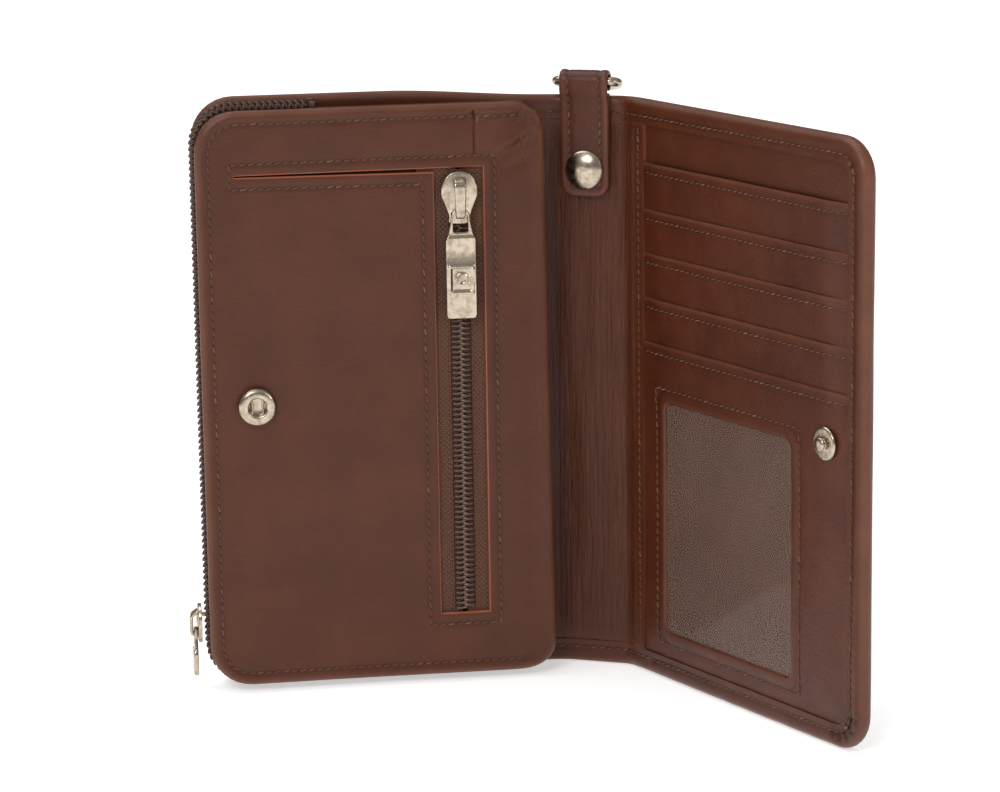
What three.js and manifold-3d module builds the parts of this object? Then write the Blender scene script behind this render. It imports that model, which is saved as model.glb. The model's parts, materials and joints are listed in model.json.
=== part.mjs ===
// A phone wallet case standing open like a book: a padded back cover and a soft front cover hold the
// phone between them, and a zip runs round their free edges. The front cover has a coin pocket with a
// zip of its own. A spine joins the back cover to a card flap with a window pocket, and carries a snap
// tab with a D-ring. A snap on the flap closes the case.
//
// Millimetres. X runs along the covers from the free edge to the spine, Y from front to back, Z up.
// The spine and the flap each have a group of their own, which turns about its fold line.

import * as THREE from 'three';
import { mergeVertices } from 'three/addons/utils/BufferGeometryUtils.js';
import Module from 'manifold-3d';

// ---------------------------------------------------------------- driving dimensions

const GAP = 0.3;               // clearance between neighbouring layers
const LEATHER = 1.3;           // thickness of the outer leather
const TAPE_T = 0.4;            // thickness of the zip tapes

const COVER_W = 91;            // width of both covers
const BACK_H = 158;            // height of the back cover
const FLAP_H = 155.6;          // height of the spine and the flap
const FRONT_Z0 = 2;            // lower edge of the front cover
const FRONT_Z1 = 156;          // upper edge of the front cover
const DEPTH = 16;              // front face to back face of the phone part
const COVER_R = 11;            // corner radius at the free edge
const FRONT_RIGHT_R = 8;       // corner radius of the front cover at the spine

const FRONT_LINING_Y = 3.9;    // layers inside the front cover
const FRONT_LINING_T = 0.8;
const BACK_LINING_Y = 12.5;    // layers inside the back cover
const BACK_LINING_T = 0.8;
const BOARD_T = 0.8;

const SPINE_X = 96;            // fold between the back cover and the spine
const SPINE_Y = 15.2;
const SPINE_W = 22.5;
const SPINE_ANGLE = 25;        // degrees the spine turns towards the viewer at rest
const FLAP_ANGLE = 39;         // further degrees that the flap turns
const FOLD_CLEAR = 1.4;        // leather left out on each side of a fold
const FLAP_W = 96.5;
const FLAP_R = 10;

const ZIP_R = 10;              // zip round the covers: corner radius of its centre line
const ZIP_Z0 = 3;
const ZIP_Z1 = 156;
const ZIP_TOP_END = 30;
const ZIP_BOTTOM_END = 84;
const ZIP_COIL_T = 1.4;        // coil width from front to back
const ZIP_FRONT_Y = 4.4;       // front coil row
const ZIP_BACK_Y = 10.6;       // back coil row

const COIN_X = 68.4;           // centre line of the coin pocket's zip
const COIN_WINDOW_W = 13;
const COIN_Z0 = 19;
const COIN_Z1 = 139.4;
const COIN_COIL_W = 5.2;       // both coils together, over their centre gap
const COIN_COIL_GAP = 1.4;
const SLIT_X0 = 10;
const SLIT_H = 1.3;

const SNAP_X = 14.2;           // snap socket on the front cover
const SNAP_Z = 78.3;
const FLAP_STUD_X = 82.6;      // snap stud on the flap, from its fold

const TAB_X = 9.4;             // centre of the tab along the spine
const TAB_W = 13;
const TAB_Z0 = 129.1;
const TAB_T = 1.1;
const TAB_SNAP_Z = 136.2;
const RING_Y = -2.5;           // bar of the D-ring, in the spine's own frame
const RING_Z = 159.6;
const RING_WIRE = 1.3;
const RING_HALF = 8.2;
const RING_TILT = 15;
const LOOP_IN = 1.8;           // leather loop round the ring's bar

const SLOT_X0 = 6.5;           // card slots on the flap
const SLOT_X1 = 88.5;
const SLOT_TOPS = [139.2, 126.9, 115.3, 103.4];
const SLOT_H = 20;
const SLOT_TILT = 3.5;
const SLOT_T = 0.4;
const ID_TOP = 91.6;
const WINDOW = { x0: 16, z0: 13.7, x1: 68.5, z1: 76.4, r: 2.5 };

// ---------------------------------------------------------------- materials

const material = (color, roughness, metalness = 0) =>
  new THREE.MeshStandardMaterial({ color, roughness, metalness });

const LEATHER_OUT = material(0x71392b, 0.42);
const LEATHER_IN = material(0x7a4232, 0.48);
const LINING = material(0x6a4436, 0.7);
const BOARD = material(0xb9a58c, 0.9);
const TAPE = material(0x4f392e, 0.85);
const COIL = material(0x33251f, 0.5);
const CLOTH = material(0x5c4436, 0.9);
const NICKEL = material(0xcfc8bb, 0.28, 1);
const FILM = new THREE.MeshStandardMaterial({
  color: 0xf2f2f2, roughness: 0.12, transparent: true, opacity: 0.3,
});

// ---------------------------------------------------------------- shape helpers

const wasm = await Module();
wasm.setup();

/** A closed three.js geometry as a solid for joining and cutting. */
function solid(geometry) {
  const plain = geometry.clone();
  plain.deleteAttribute('normal');
  plain.deleteAttribute('uv');
  const merged = mergeVertices(plain, 1e-4);
  return new wasm.Manifold(new wasm.Mesh({
    numProp: 3,
    vertProperties: new Float32Array(merged.attributes.position.array),
    triVerts: new Uint32Array(merged.index.array),
  }));
}

/** The geometry of a solid. */
function geometryOf(body) {
  const mesh = body.getMesh();
  const geometry = new THREE.BufferGeometry();
  geometry.setAttribute('position', new THREE.BufferAttribute(new Float32Array(mesh.vertProperties), 3));
  geometry.setIndex(new THREE.BufferAttribute(new Uint32Array(mesh.triVerts), 1));
  return geometry;
}

const join = (first, ...others) =>
  geometryOf(others.reduce((body, other) => body.add(solid(other)), solid(first)));

/** Rounded rectangle; radii are given as [lower left, lower right, upper right, upper left]. */
function rounded(x0, z0, x1, z1, radii) {
  const [ll, lr, ur, ul] = Array.isArray(radii) ? radii : [radii, radii, radii, radii];
  const shape = new THREE.Shape();
  const corner = (x, z, r, from) => {
    if (r > 0) shape.absarc(x, z, r, from, from + Math.PI / 2, false);
    else shape.lineTo(x, z);
  };
  shape.moveTo(x0 + ll, z0);
  corner(x1 - lr, z0 + lr, lr, -Math.PI / 2);
  corner(x1 - ur, z1 - ur, ur, 0);
  corner(x0 + ul, z1 - ul, ul, Math.PI / 2);
  corner(x0 + ll, z0 + ll, ll, Math.PI);
  return shape;
}

/** Cuts a round hole into a shape. */
function punch(shape, x, z, r) {
  const hole = new THREE.Path();
  hole.absarc(x, z, r, 0, Math.PI * 2, true);
  shape.holes.push(hole);
  return shape;
}

/** A strip of even thickness along a line of points. */
function ribbon(points, thickness) {
  const half = thickness / 2;
  const side = points.map((point, i) => {
    const before = points[Math.max(i - 1, 0)];
    const after = points[Math.min(i + 1, points.length - 1)];
    const along = new THREE.Vector2().subVectors(after, before).normalize();
    return new THREE.Vector2(-along.y * half, along.x * half);
  });
  const left = points.map((point, i) => point.clone().add(side[i]));
  const right = points.map((point, i) => point.clone().sub(side[i]));
  return new THREE.Shape([...left, ...right.reverse()]);
}

const extrude = (shape, depth, curveSegments = 6) =>
  new THREE.ExtrudeGeometry(shape, { depth, curveSegments, bevelEnabled: false });

/** Extrudes a shape drawn in X and Z from y0 to y1. */
const plate = (shape, y0, y1, curveSegments) =>
  extrude(shape, y1 - y0, curveSegments).rotateX(Math.PI / 2).translate(0, y1, 0);

/** Extrudes a shape drawn in X and Y from z0 to z1. */
const column = (shape, z0, z1) => extrude(shape, z1 - z0).translate(0, 0, z0);

/** Extrudes a shape drawn in Y and Z from x0 to x1. */
function beam(shape, x0, x1) {
  const turn = new THREE.Matrix4().makeBasis(
    new THREE.Vector3(0, 1, 0), new THREE.Vector3(0, 0, 1), new THREE.Vector3(1, 0, 0));
  return extrude(shape, x1 - x0).applyMatrix4(turn).translate(x0, 0, 0);
}

/** Turns a profile of [radius, y] pairs, listed from low y to high y, about the Y axis. */
const turned = (profile, segments = 20) =>
  new THREE.LatheGeometry(profile.map(([r, y]) => new THREE.Vector2(r, y)), segments);

const points2 = (pairs) => pairs.map(([a, b]) => new THREE.Vector2(a, b));

/** Adds a named mesh to a group. */
function add(group, name, geometry, look) {
  const mesh = new THREE.Mesh(geometry, look);
  mesh.name = name;
  group.add(mesh);
  return mesh;
}

// ---------------------------------------------------------------- groups

const case_ = new THREE.Group();
const covers = new THREE.Group();
const spine = new THREE.Group();
const flap = new THREE.Group();

spine.position.set(SPINE_X, SPINE_Y, 0);
spine.rotation.z = -THREE.MathUtils.degToRad(SPINE_ANGLE);
flap.position.set(SPINE_W, 0, 0);
flap.rotation.z = -THREE.MathUtils.degToRad(FLAP_ANGLE);
case_.add(covers, spine);
spine.add(flap);

// ---------------------------------------------------------------- back cover

/** Outline of a layer inside the covers, drawn in from the edges that the zip follows. */
const innerLayer = (x1, inset = 1.4) =>
  rounded(inset, ZIP_Z0 + inset, x1, ZIP_Z1 - inset, [ZIP_R, 3, 3, ZIP_R]);

function backCover() {
  const outline = rounded(0, 0, SPINE_X - FOLD_CLEAR, BACK_H, [COVER_R, 0, 0, COVER_R]);
  add(covers, 'outer_back_leather', plate(outline, DEPTH - LEATHER, DEPTH), LEATHER_OUT);
  const boardY = BACK_LINING_Y + BACK_LINING_T + GAP;
  add(covers, 'back_stiffener', plate(innerLayer(88), boardY, boardY + BOARD_T), BOARD);
  const lining = plate(innerLayer(88), BACK_LINING_Y, BACK_LINING_Y + BACK_LINING_T);
  add(covers, 'back_lining', lining, LINING);
}

// ---------------------------------------------------------------- zip round the covers

/** A band that follows the zip's path, between two distances outside its centre line. */
function zipBand(inside, outside) {
  const shape = new THREE.Shape();
  const upper = ZIP_Z1 - ZIP_R;
  const lower = ZIP_Z0 + ZIP_R;
  const quarter = Math.PI / 2;
  shape.moveTo(ZIP_TOP_END, ZIP_Z1 + outside);
  shape.absarc(ZIP_R, upper, ZIP_R + outside, quarter, 2 * quarter, false);
  shape.absarc(ZIP_R, lower, ZIP_R + outside, 2 * quarter, 3 * quarter, false);
  shape.lineTo(ZIP_BOTTOM_END, ZIP_Z0 - outside);
  shape.lineTo(ZIP_BOTTOM_END, ZIP_Z0 - inside);
  shape.absarc(ZIP_R, lower, ZIP_R + inside, 3 * quarter, 2 * quarter, true);
  shape.absarc(ZIP_R, upper, ZIP_R + inside, 2 * quarter, quarter, true);
  shape.lineTo(ZIP_TOP_END, ZIP_Z1 + inside);
  return shape;
}

function coverZip() {
  const coil = zipBand(-0.2, 1.4);
  const tape = zipBand(-1, -1 + TAPE_T);
  const frontEnd = ZIP_FRONT_Y + ZIP_COIL_T;
  const backEnd = ZIP_BACK_Y + ZIP_COIL_T;
  const stop = rounded(ZIP_TOP_END + GAP, ZIP_Z1 - 1, ZIP_TOP_END + 2, ZIP_Z1 + 1.4, 0.3);
  const backTapeEnd = DEPTH - LEATHER - GAP;
  add(covers, 'front_zip_coil', plate(coil, ZIP_FRONT_Y, frontEnd), COIL);
  add(covers, 'back_zip_coil', plate(coil, ZIP_BACK_Y, backEnd), COIL);
  add(covers, 'front_zip_tape', plate(tape, LEATHER + GAP, frontEnd), TAPE);
  add(covers, 'back_zip_tape', plate(tape, ZIP_BACK_Y, backTapeEnd), TAPE);
  add(covers, 'front_zip_stop', plate(stop, ZIP_FRONT_Y - 0.2, frontEnd + 0.2, 2), NICKEL);
  add(covers, 'back_zip_stop', plate(stop, ZIP_BACK_Y - 0.2, backEnd + 0.2, 2), NICKEL);
}

// ---------------------------------------------------------------- front cover

function frontCover() {
  const outline = rounded(0, FRONT_Z0, COVER_W, FRONT_Z1, [COVER_R, FRONT_RIGHT_R, FRONT_RIGHT_R, COVER_R]);
  const left = COIN_X - COIN_WINDOW_W / 2;
  const right = COIN_X + COIN_WINDOW_W / 2;
  const cut = new THREE.Path(points2([
    [SLIT_X0, COIN_Z1], [SLIT_X0, COIN_Z1 - SLIT_H], [left, COIN_Z1 - SLIT_H],
    [left, COIN_Z0], [right, COIN_Z0], [right, COIN_Z1],
  ]));
  outline.holes.push(cut);
  punch(outline, SNAP_X, SNAP_Z, 1.9);
  add(covers, 'front_leather_panel', plate(outline, 0, LEATHER), LEATHER_OUT);

  const hem = rounded(86.5, FRONT_Z0 + FRONT_RIGHT_R, COVER_W - 0.6, FRONT_Z1 - FRONT_RIGHT_R, 0.5);
  add(covers, 'front_side_hem', plate(hem, LEATHER + GAP, LEATHER + GAP + 0.8, 2), LEATHER_OUT);
  const lining = plate(innerLayer(85), FRONT_LINING_Y, FRONT_LINING_Y + FRONT_LINING_T);
  add(covers, 'front_lining', lining, LINING);
}

/** The folded side wall of the phone compartment and its short top wall. */
function gussets() {
  const side = ribbon(points2([[89.3, 3], [85.6, 8.6], [90.4, 12.3]]), 0.6);
  add(covers, 'side_gusset', column(side, 9, 149), LEATHER_IN);
  const top = ribbon(points2([[5.5, 154.4], [8.6, 150.4], [11.7, 154.4]]), 0.6);
  add(covers, 'top_gusset', beam(top, ZIP_TOP_END + 3, 83), LEATHER_IN);
}

// ---------------------------------------------------------------- coin pocket

function coinPocket() {
  const front = rounded(12, 16, COIN_X - 9, COIN_Z1 + 3, 2);
  const back = rounded(12, 14, 84, 146, 2);
  add(covers, 'coin_pocket_front_layer', plate(front, 2.3, 2.6), CLOTH);
  add(covers, 'coin_pocket_back_layer', plate(back, 3.3, 3.6), CLOTH);
  for (const [name, sign] of [['left', -1], ['right', 1]]) {
    const near = COIN_X + sign * COIN_COIL_GAP / 2;
    const coilFar = COIN_X + sign * COIN_COIL_W / 2;
    const tapeFar = COIN_X + sign * 11;
    const strip = (far, z0, z1) => rounded(Math.min(near, far), z0, Math.max(near, far), z1, 0.2);
    const coil = plate(strip(coilFar, COIN_Z0 + 1, COIN_Z1 - 1), 0.1, 1.3, 2);
    const tape = plate(strip(tapeFar, COIN_Z0 - 3, COIN_Z1 + 3), 1.6, 2, 2);
    add(covers, `coin_zip_coil_${name}`, coil, COIL);
    add(covers, `coin_zip_tape_${name}`, tape, TAPE);
  }
}

// ---------------------------------------------------------------- zip sliders and pullers

/**
 * A slider in its own frame: the zip runs along Z through the origin, and the outside is -Y. The outer
 * plate's bridge holds the puller's cross bar; both start at the slider's lower end.
 */
function sliderBody({ width, backWidth, length, outerY, innerY, wedge }) {
  const plateT = 1;
  const half = width / 2;
  const top = rounded(-half, 0, half, length, [2.2, 2.2, 1.2, 1.2]);
  const under = rounded(-backWidth / 2, 0, backWidth / 2, length, 1.2);
  const post = new THREE.Shape(points2([
    [0, 0.6], [wedge / 2, length * 0.55], [wedge / 2, length - 0.8], [-wedge / 2, length - 0.8],
    [-wedge / 2, length * 0.55],
  ]));
  const front = outerY - plateT;
  const bridge = points2([
    [front + 0.3, 1.2], [front - 1.9, 1.8], [front - 1.9, length - 2.4], [front + 0.3, length - 1.2],
    [front + 0.3, length - 2.2], [front - 1.3, length - 3.1], [front - 1.3, 2.3], [front + 0.3, 2.2],
  ]);
  return join(
    plate(top, front, outerY, 3),
    plate(under, innerY, innerY + 0.7, 3),
    plate(post, outerY - 0.3, innerY + 0.3),
    beam(new THREE.Shape(bridge), -1.3, 1.3),
  );
}

/** A puller hanging from its cross bar, which lies on the X axis through the origin. */
function pullerPlate({ width, length, frame }) {
  const half = width / 2;
  const outline = rounded(-half, -length, half, 0.5, [1.4, 1.4, 0.4, 0.4]);
  const eye = new THREE.Path();
  eye.setFromPoints(points2([[-2.1, -0.5], [2.1, -0.5], [2.1, -4.6], [-2.1, -4.6]]));
  outline.holes.push(eye);
  const body = plate(outline, -0.4, 0.4, 3);
  if (!frame) return body;
  const raised = rounded(-half + 0.8, -length + 1.2, half - 0.8, -length + 1.2 + frame, 0.6);
  raised.holes.push(rounded(-half + 1.8, -length + 2.2, half - 1.8, -length + 0.2 + frame, 0.3));
  return join(body, plate(raised, -0.8, -0.2, 2));
}

function coinSlider() {
  const size = { width: 9.6, backWidth: 8, length: 13.5, outerY: -0.3, innerY: 2.3, wedge: 1 };
  const slider = add(covers, 'coin_slider_body', sliderBody(size), NICKEL);
  slider.position.set(COIN_X, 0, COIN_Z1 - 1 - size.length);
  const puller = add(covers, 'coin_puller', pullerPlate({ width: 8, length: 28, frame: 9 }), NICKEL);
  puller.position.set(COIN_X, size.outerY - 1.65, slider.position.z + 2.9);
}

function coverSlider() {
  const side = new THREE.Group();
  side.rotation.z = -Math.PI / 2;
  side.position.set(0, (ZIP_FRONT_Y + ZIP_BACK_Y + ZIP_COIL_T) / 2, ZIP_Z0 + ZIP_R);
  covers.add(side);
  const size = { width: 8.6, backWidth: 6, length: 10, outerY: -1.8, innerY: 1.3, wedge: 2.6 };
  add(side, 'cover_zip_slider_body', sliderBody(size), NICKEL);
  const puller = add(side, 'cover_zip_puller', pullerPlate({ width: 6.4, length: 12 }), NICKEL);
  puller.position.set(0, size.outerY - 1.65, 2.9);
}

// ---------------------------------------------------------------- closing snap

function closingSnap() {
  const socket = turned([
    [2.3, -2.3], [2.3, -2.31], [4.1, -2.3], [5.05, -1.5], [5.05, -0.3], [2.3, -0.3], [2.3, -2.3],
  ]);
  const post = turned([[0, -0.2], [1.5, -0.2], [1.5, 1.6], [4, 1.6], [4, 2], [0, 2]], 16);
  const stud = turned([
    [0, -5.9], [1.5, -5.75], [1.95, -5.3], [1.5, -4.9], [1.5, -4.4], [3.7, -4.4], [4.3, -4.1],
    [4.3, -3.8], [0, -3.8],
  ]);
  const cap = turned([
    [0, -3.5], [1.2, -3.5], [1.2, 1.75], [5, 1.75], [4.9, 2.2], [3.4, 2.8], [0, 3.1],
  ]);
  add(covers, 'front_snap_socket', socket, NICKEL).position.set(SNAP_X, 0, SNAP_Z);
  add(covers, 'front_snap_post', post, NICKEL).position.set(SNAP_X, 0, SNAP_Z);
  add(flap, 'flap_snap_stud', stud, NICKEL).position.set(FLAP_STUD_X, 0, SNAP_Z);
  add(flap, 'flap_snap_cap', cap, NICKEL).position.set(FLAP_STUD_X, 0, SNAP_Z);
}

// ---------------------------------------------------------------- spine, tab and ring

function spineLeather() {
  const outline = (inset) => rounded(inset, 0, SPINE_W - inset, FLAP_H, 0);
  add(spine, 'spine_outer_leather', plate(outline(FOLD_CLEAR), GAP / 2, GAP / 2 + LEATHER), LEATHER_OUT);
  add(spine, 'spine_lining_leather', plate(outline(FOLD_CLEAR + 0.2), -0.95, -GAP / 2), LEATHER_IN);
}

function snapTab() {
  const backFace = -0.95 - GAP;
  const x0 = TAB_X - TAB_W / 2;
  const x1 = TAB_X + TAB_W / 2;
  const backTop = RING_Z - LOOP_IN - TAB_T - GAP;
  const backLeaf = punch(rounded(x0, TAB_Z0, x1, backTop, [4, 4, 0, 0]), TAB_X, TAB_SNAP_Z, 2.9);
  add(spine, 'tab_back_leaf', plate(backLeaf, backFace - TAB_T, backFace), LEATHER_IN);
  const stud = turned([
    [0, -1], [1.2, -0.9], [1.5, -0.5], [1.3, 0], [2.6, 0], [2.6, 0.95], [0, 0.95],
  ], 16);
  add(spine, 'tab_snap_stud', stud, NICKEL).position.set(TAB_X, backFace - TAB_T, TAB_SNAP_Z);

  // The leather loops over the ring's bar and comes down in front as the moving leaf.
  const frontY = backFace - 1.5 * TAB_T - GAP;
  const mid = LOOP_IN + TAB_T / 2;
  const line = [];
  for (let angle = -60; angle <= 205; angle += 26.5) {
    const a = THREE.MathUtils.degToRad(angle);
    line.push([RING_Y + mid * Math.cos(a), RING_Z + mid * Math.sin(a)]);
  }
  line.push([frontY - 0.5, RING_Z - 3.6], [frontY, RING_Z - 5.7], [frontY, TAB_Z0]);
  const strip = solid(beam(ribbon(points2(line), TAB_T), x0, x1));
  const trim = punch(rounded(x0, TAB_Z0, x1, RING_Z + 4, [4, 4, 0, 0]), TAB_X, TAB_SNAP_Z, 3);
  add(spine, 'tab_front_leaf', geometryOf(strip.intersect(solid(plate(trim, -8, 3)))), LEATHER_IN);

  // Dome cap with a barrel through the leaf that grips the stud.
  const face = frontY - TAB_T / 2;
  const dome = turned([
    [0, -2.2], [2, -2.05], [3.7, -1.5], [4.8, -0.9], [5.2, -GAP], [2.7, -GAP], [2.7, TAB_T],
    [1.9, TAB_T], [1.9, -0.1], [0, -0.1],
  ]);
  add(spine, 'tab_snap_cap', dome, NICKEL).position.set(TAB_X, face, TAB_SNAP_Z);
}

function ring() {
  const section = new THREE.Shape();
  section.absarc(0, 0, RING_WIRE, 0, Math.PI * 2, false);
  const bow = new THREE.CurvePath();
  const at = (x, y) => new THREE.Vector3(x, y, 0);
  const arc = [];
  for (let i = 0; i <= 14; i += 1) {
    const a = Math.PI * (1 - i / 14);
    arc.push(at(RING_HALF * Math.cos(a), 2 + RING_HALF * Math.sin(a)));
  }
  bow.add(new THREE.CatmullRomCurve3([at(-RING_HALF, 0), ...arc, at(RING_HALF, 0)]));
  const wire = new THREE.ExtrudeGeometry(section, {
    steps: 20, curveSegments: 4, bevelEnabled: false, extrudePath: bow.curves[0],
  });
  const bar = new THREE.CylinderGeometry(RING_WIRE, RING_WIRE, 2 * RING_HALF, 10).rotateZ(Math.PI / 2);
  const knuckle = (x) => new THREE.SphereGeometry(RING_WIRE * 1.05, 10, 8).translate(x, 0, 0);
  const mesh = add(spine, 'd_ring', join(bar, wire, knuckle(-RING_HALF), knuckle(RING_HALF)), NICKEL);
  mesh.position.set(TAB_X, RING_Y, RING_Z);
  mesh.rotation.x = -THREE.MathUtils.degToRad(RING_TILT);
}

// ---------------------------------------------------------------- card flap

function flapLayers() {
  const hole = (shape) => punch(shape, FLAP_STUD_X, SNAP_Z, 1.6);
  const outer = rounded(FOLD_CLEAR, 0, FLAP_W, FLAP_H, [0, FLAP_R, FLAP_R, 0]);
  const board = rounded(5, 4, FLAP_W - 4, FLAP_H - 4, [1, FLAP_R - 4, FLAP_R - 4, 1]);
  const base = rounded(FOLD_CLEAR + 0.2, 0.5, FLAP_W - 0.4, FLAP_H - 0.5, [0, FLAP_R, FLAP_R, 0]);
  add(flap, 'flap_outer_leather', plate(hole(outer), GAP / 2, GAP / 2 + LEATHER), LEATHER_OUT);
  add(flap, 'flap_stiffener', plate(hole(board), -0.75, -GAP / 2), BOARD);
  add(flap, 'flap_base_leather', plate(hole(base), -1.55, -1.05), LEATHER_IN);
}

function cardSlots() {
  SLOT_TOPS.forEach((top, i) => {
    const strip = plate(rounded(SLOT_X0, -SLOT_H, SLOT_X1, 0, 0.3), -SLOT_T, 0, 2);
    const slot = add(flap, `card_slot_${i + 1}`, strip, LEATHER_IN);
    const tilt = THREE.MathUtils.degToRad(SLOT_TILT);
    slot.rotation.x = tilt;
    slot.position.set(0, -1.9 - SLOT_H * Math.sin(tilt), top);
  });
}

function idWindow() {
  const panel = punch(rounded(SLOT_X0, 5, SLOT_X1, ID_TOP, 0.3), FLAP_STUD_X, SNAP_Z, 1.6);
  panel.holes.push(rounded(WINDOW.x0, WINDOW.z0, WINDOW.x1, WINDOW.z1, WINDOW.r));
  const sheet = (grow, y0, y1) => plate(
    rounded(WINDOW.x0 - grow, WINDOW.z0 - grow, WINDOW.x1 + grow, WINDOW.z1 + grow, 1), y0, y1, 2);
  add(flap, 'id_window_panel', plate(panel, -3.5, -3.1), LEATHER_IN);
  add(flap, 'id_window_film', sheet(3, -2.8, -2.55), FILM);
  add(flap, 'id_pocket_backing', sheet(5.5, -2.25, -1.85), LEATHER_IN);
}

function flapEdges() {
  const y1 = -1.85;
  const left = rounded(FOLD_CLEAR + 0.2, 1, SLOT_X0 - GAP, FLAP_H - 1, 0);
  const right = rounded(SLOT_X1 + GAP, 1, FLAP_W - 0.4, FLAP_H - 1, [0, FLAP_R - 3, FLAP_R - 3, 0]);
  add(flap, 'flap_fold_strip', plate(left, y1 - 0.7, y1), LEATHER_IN);
  add(flap, 'flap_edge_strip', plate(right, y1 - 0.7, y1), LEATHER_IN);
}

// ---------------------------------------------------------------- assembly

backCover();
coverZip();
frontCover();
gussets();
coinPocket();
coinSlider();
coverSlider();
closingSnap();
spineLeather();
snapTab();
ring();
flapLayers();
cardSlots();
idWindow();
flapEdges();

// The origin is the middle of the footprint, on the surface that the case stands on.
case_.updateMatrixWorld(true);
const box = new THREE.Box3().setFromObject(case_, true);
const centre = box.getCenter(new THREE.Vector3());
case_.position.set(-centre.x, -centre.y, -box.min.z);

export default case_;
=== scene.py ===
"""The looks of a leather phone wallet case that stands open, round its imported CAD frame.

Leather, tapes and thin metal are cut as flat patterns, given a front and a back surface, and bent along
the line that they follow. Zip coils and the ring are swept wires, and the snaps are turned.
Sizes are in millimetres until a mesh is made. X runs along the covers, Y from front to back, Z up.
"""

import json
import math

import bmesh
import bpy
import numpy as np
from mathutils import Matrix, Vector, geometry, kdtree, noise


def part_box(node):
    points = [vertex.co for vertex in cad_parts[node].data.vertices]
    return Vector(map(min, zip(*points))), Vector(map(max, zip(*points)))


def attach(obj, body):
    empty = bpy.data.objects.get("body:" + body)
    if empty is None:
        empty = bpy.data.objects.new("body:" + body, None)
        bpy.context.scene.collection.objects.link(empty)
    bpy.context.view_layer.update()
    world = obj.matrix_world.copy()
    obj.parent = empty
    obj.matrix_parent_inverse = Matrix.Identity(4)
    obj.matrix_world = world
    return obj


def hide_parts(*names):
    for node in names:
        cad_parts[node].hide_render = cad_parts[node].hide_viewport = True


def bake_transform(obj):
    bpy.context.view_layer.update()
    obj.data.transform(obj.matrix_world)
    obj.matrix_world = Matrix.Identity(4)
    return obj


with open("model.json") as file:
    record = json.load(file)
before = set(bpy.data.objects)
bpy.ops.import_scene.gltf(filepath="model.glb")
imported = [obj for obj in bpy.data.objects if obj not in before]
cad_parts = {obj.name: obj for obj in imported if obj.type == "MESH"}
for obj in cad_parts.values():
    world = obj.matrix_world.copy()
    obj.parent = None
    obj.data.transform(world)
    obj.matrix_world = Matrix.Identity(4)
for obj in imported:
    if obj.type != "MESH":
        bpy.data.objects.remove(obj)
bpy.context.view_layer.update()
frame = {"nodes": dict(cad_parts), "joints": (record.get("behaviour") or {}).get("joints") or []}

# ---------------------------------------------------------------- places, from the frame

MM = 0.001
SPINE_TURN = math.radians(25)       # the spine's turn towards the viewer, and the flap's further turn
FLAP_TURN = math.radians(39)


def corners(node):
    """Lowest and highest corner of a CAD node in millimetres."""
    low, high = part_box(node)
    return low / MM, high / MM


joint_at = {j["name"]: Vector(j["pos_m"]) / MM for j in frame["joints"] if "pos_m" in j}
panel_low, panel_high = corners("front_leather_panel")
COVERS_AT = Vector((panel_low.x, panel_low.y, 0))
SPINE_AT = Vector((joint_at["spine_fold"].x, joint_at["spine_fold"].y, 0))
FLAP_AT = Vector((joint_at["flap_fold"].x, joint_at["flap_fold"].y, 0))

COVERS = Matrix.Translation(COVERS_AT)
SPINE = Matrix.Translation(SPINE_AT) @ Matrix.Rotation(-SPINE_TURN, 4, "Z")
FLAP = Matrix.Translation(FLAP_AT) @ Matrix.Rotation(-SPINE_TURN - FLAP_TURN, 4, "Z")


def in_covers(node):
    """Lowest and highest corner of a CAD node, in the covers' own frame."""
    low, high = corners(node)
    return low - COVERS_AT, high - COVERS_AT


COVER_W = panel_high.x - panel_low.x
FRONT_Z0, FRONT_Z1 = panel_low.z, panel_high.z
HEIGHT = corners("outer_back_leather")[1].z
FLAP_LOSS = 1 - corners("flap_outer_leather")[1].z / HEIGHT     # how much lower the spine and flap are
SPINE_X = SPINE_AT.x - COVERS_AT.x
SPINE_W = (FLAP_AT - SPINE_AT).length
FLAP_X = SPINE_X + SPINE_W          # the flap's fold, measured along the leather
FLAP_W = 96.5
COVER_R, FRONT_R, FLAP_R = 11, 8, 10
SPINE_HALF_FOLD, FLAP_HALF_FOLD = 5, 3.5
SEAM = 4.4                          # stitch line from the edge of the back cover, spine and flap
FRONT_SEAM = 3.4
BORDER = 6.4                        # width of the turned-in border

# ---------------------------------------------------------------- flat patterns


def unit(v):
    """Vectors brought to a length of 1."""
    return v / np.maximum(np.linalg.norm(v, axis=-1, keepdims=True), 1e-9)


def ease(x, low, high):
    """0 below low, 1 above high, smooth between them."""
    t = np.clip((x - low) / (high - low), 0, 1)
    return t * t * (3 - 2 * t)


def bell(x, width):
    """1 at 0, falling smoothly to nothing on both sides."""
    return np.exp(-((x / width) ** 2))


def roll(gap, width, depth):
    """How far a surface falls back at a distance from its rounded edge."""
    s = np.clip(1 - gap / width, 0, 1)
    return depth * (1 - np.sqrt(1 - s * s))


def swell(a, b, size_a, size_b, seed):
    """Smooth random unevenness from -1 to 1."""
    return np.array([noise.noise((x / size_a, z / size_b, seed * 7.3)) for x, z in zip(a, b)])


def rounded(x0, z0, x1, z1, radii=0.0, parts=8):
    """Corners of a rounded rectangle, anticlockwise from the lower left."""
    radii = [radii] * 4 if np.isscalar(radii) else radii
    centres = [(x0, z0, 1, 1), (x1, z0, -1, 1), (x1, z1, -1, -1), (x0, z1, 1, -1)]
    line = []
    for i, ((x, z, sx, sz), r) in enumerate(zip(centres, radii)):
        if r <= 0:
            line.append((x, z))
            continue
        for k in range(parts + 1):
            a = math.pi * (1 + i / 2 + k / parts / 2)
            line.append((x + sx * r + r * math.cos(a), z + sz * r + r * math.sin(a)))
    return np.array(line, float)


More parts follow.
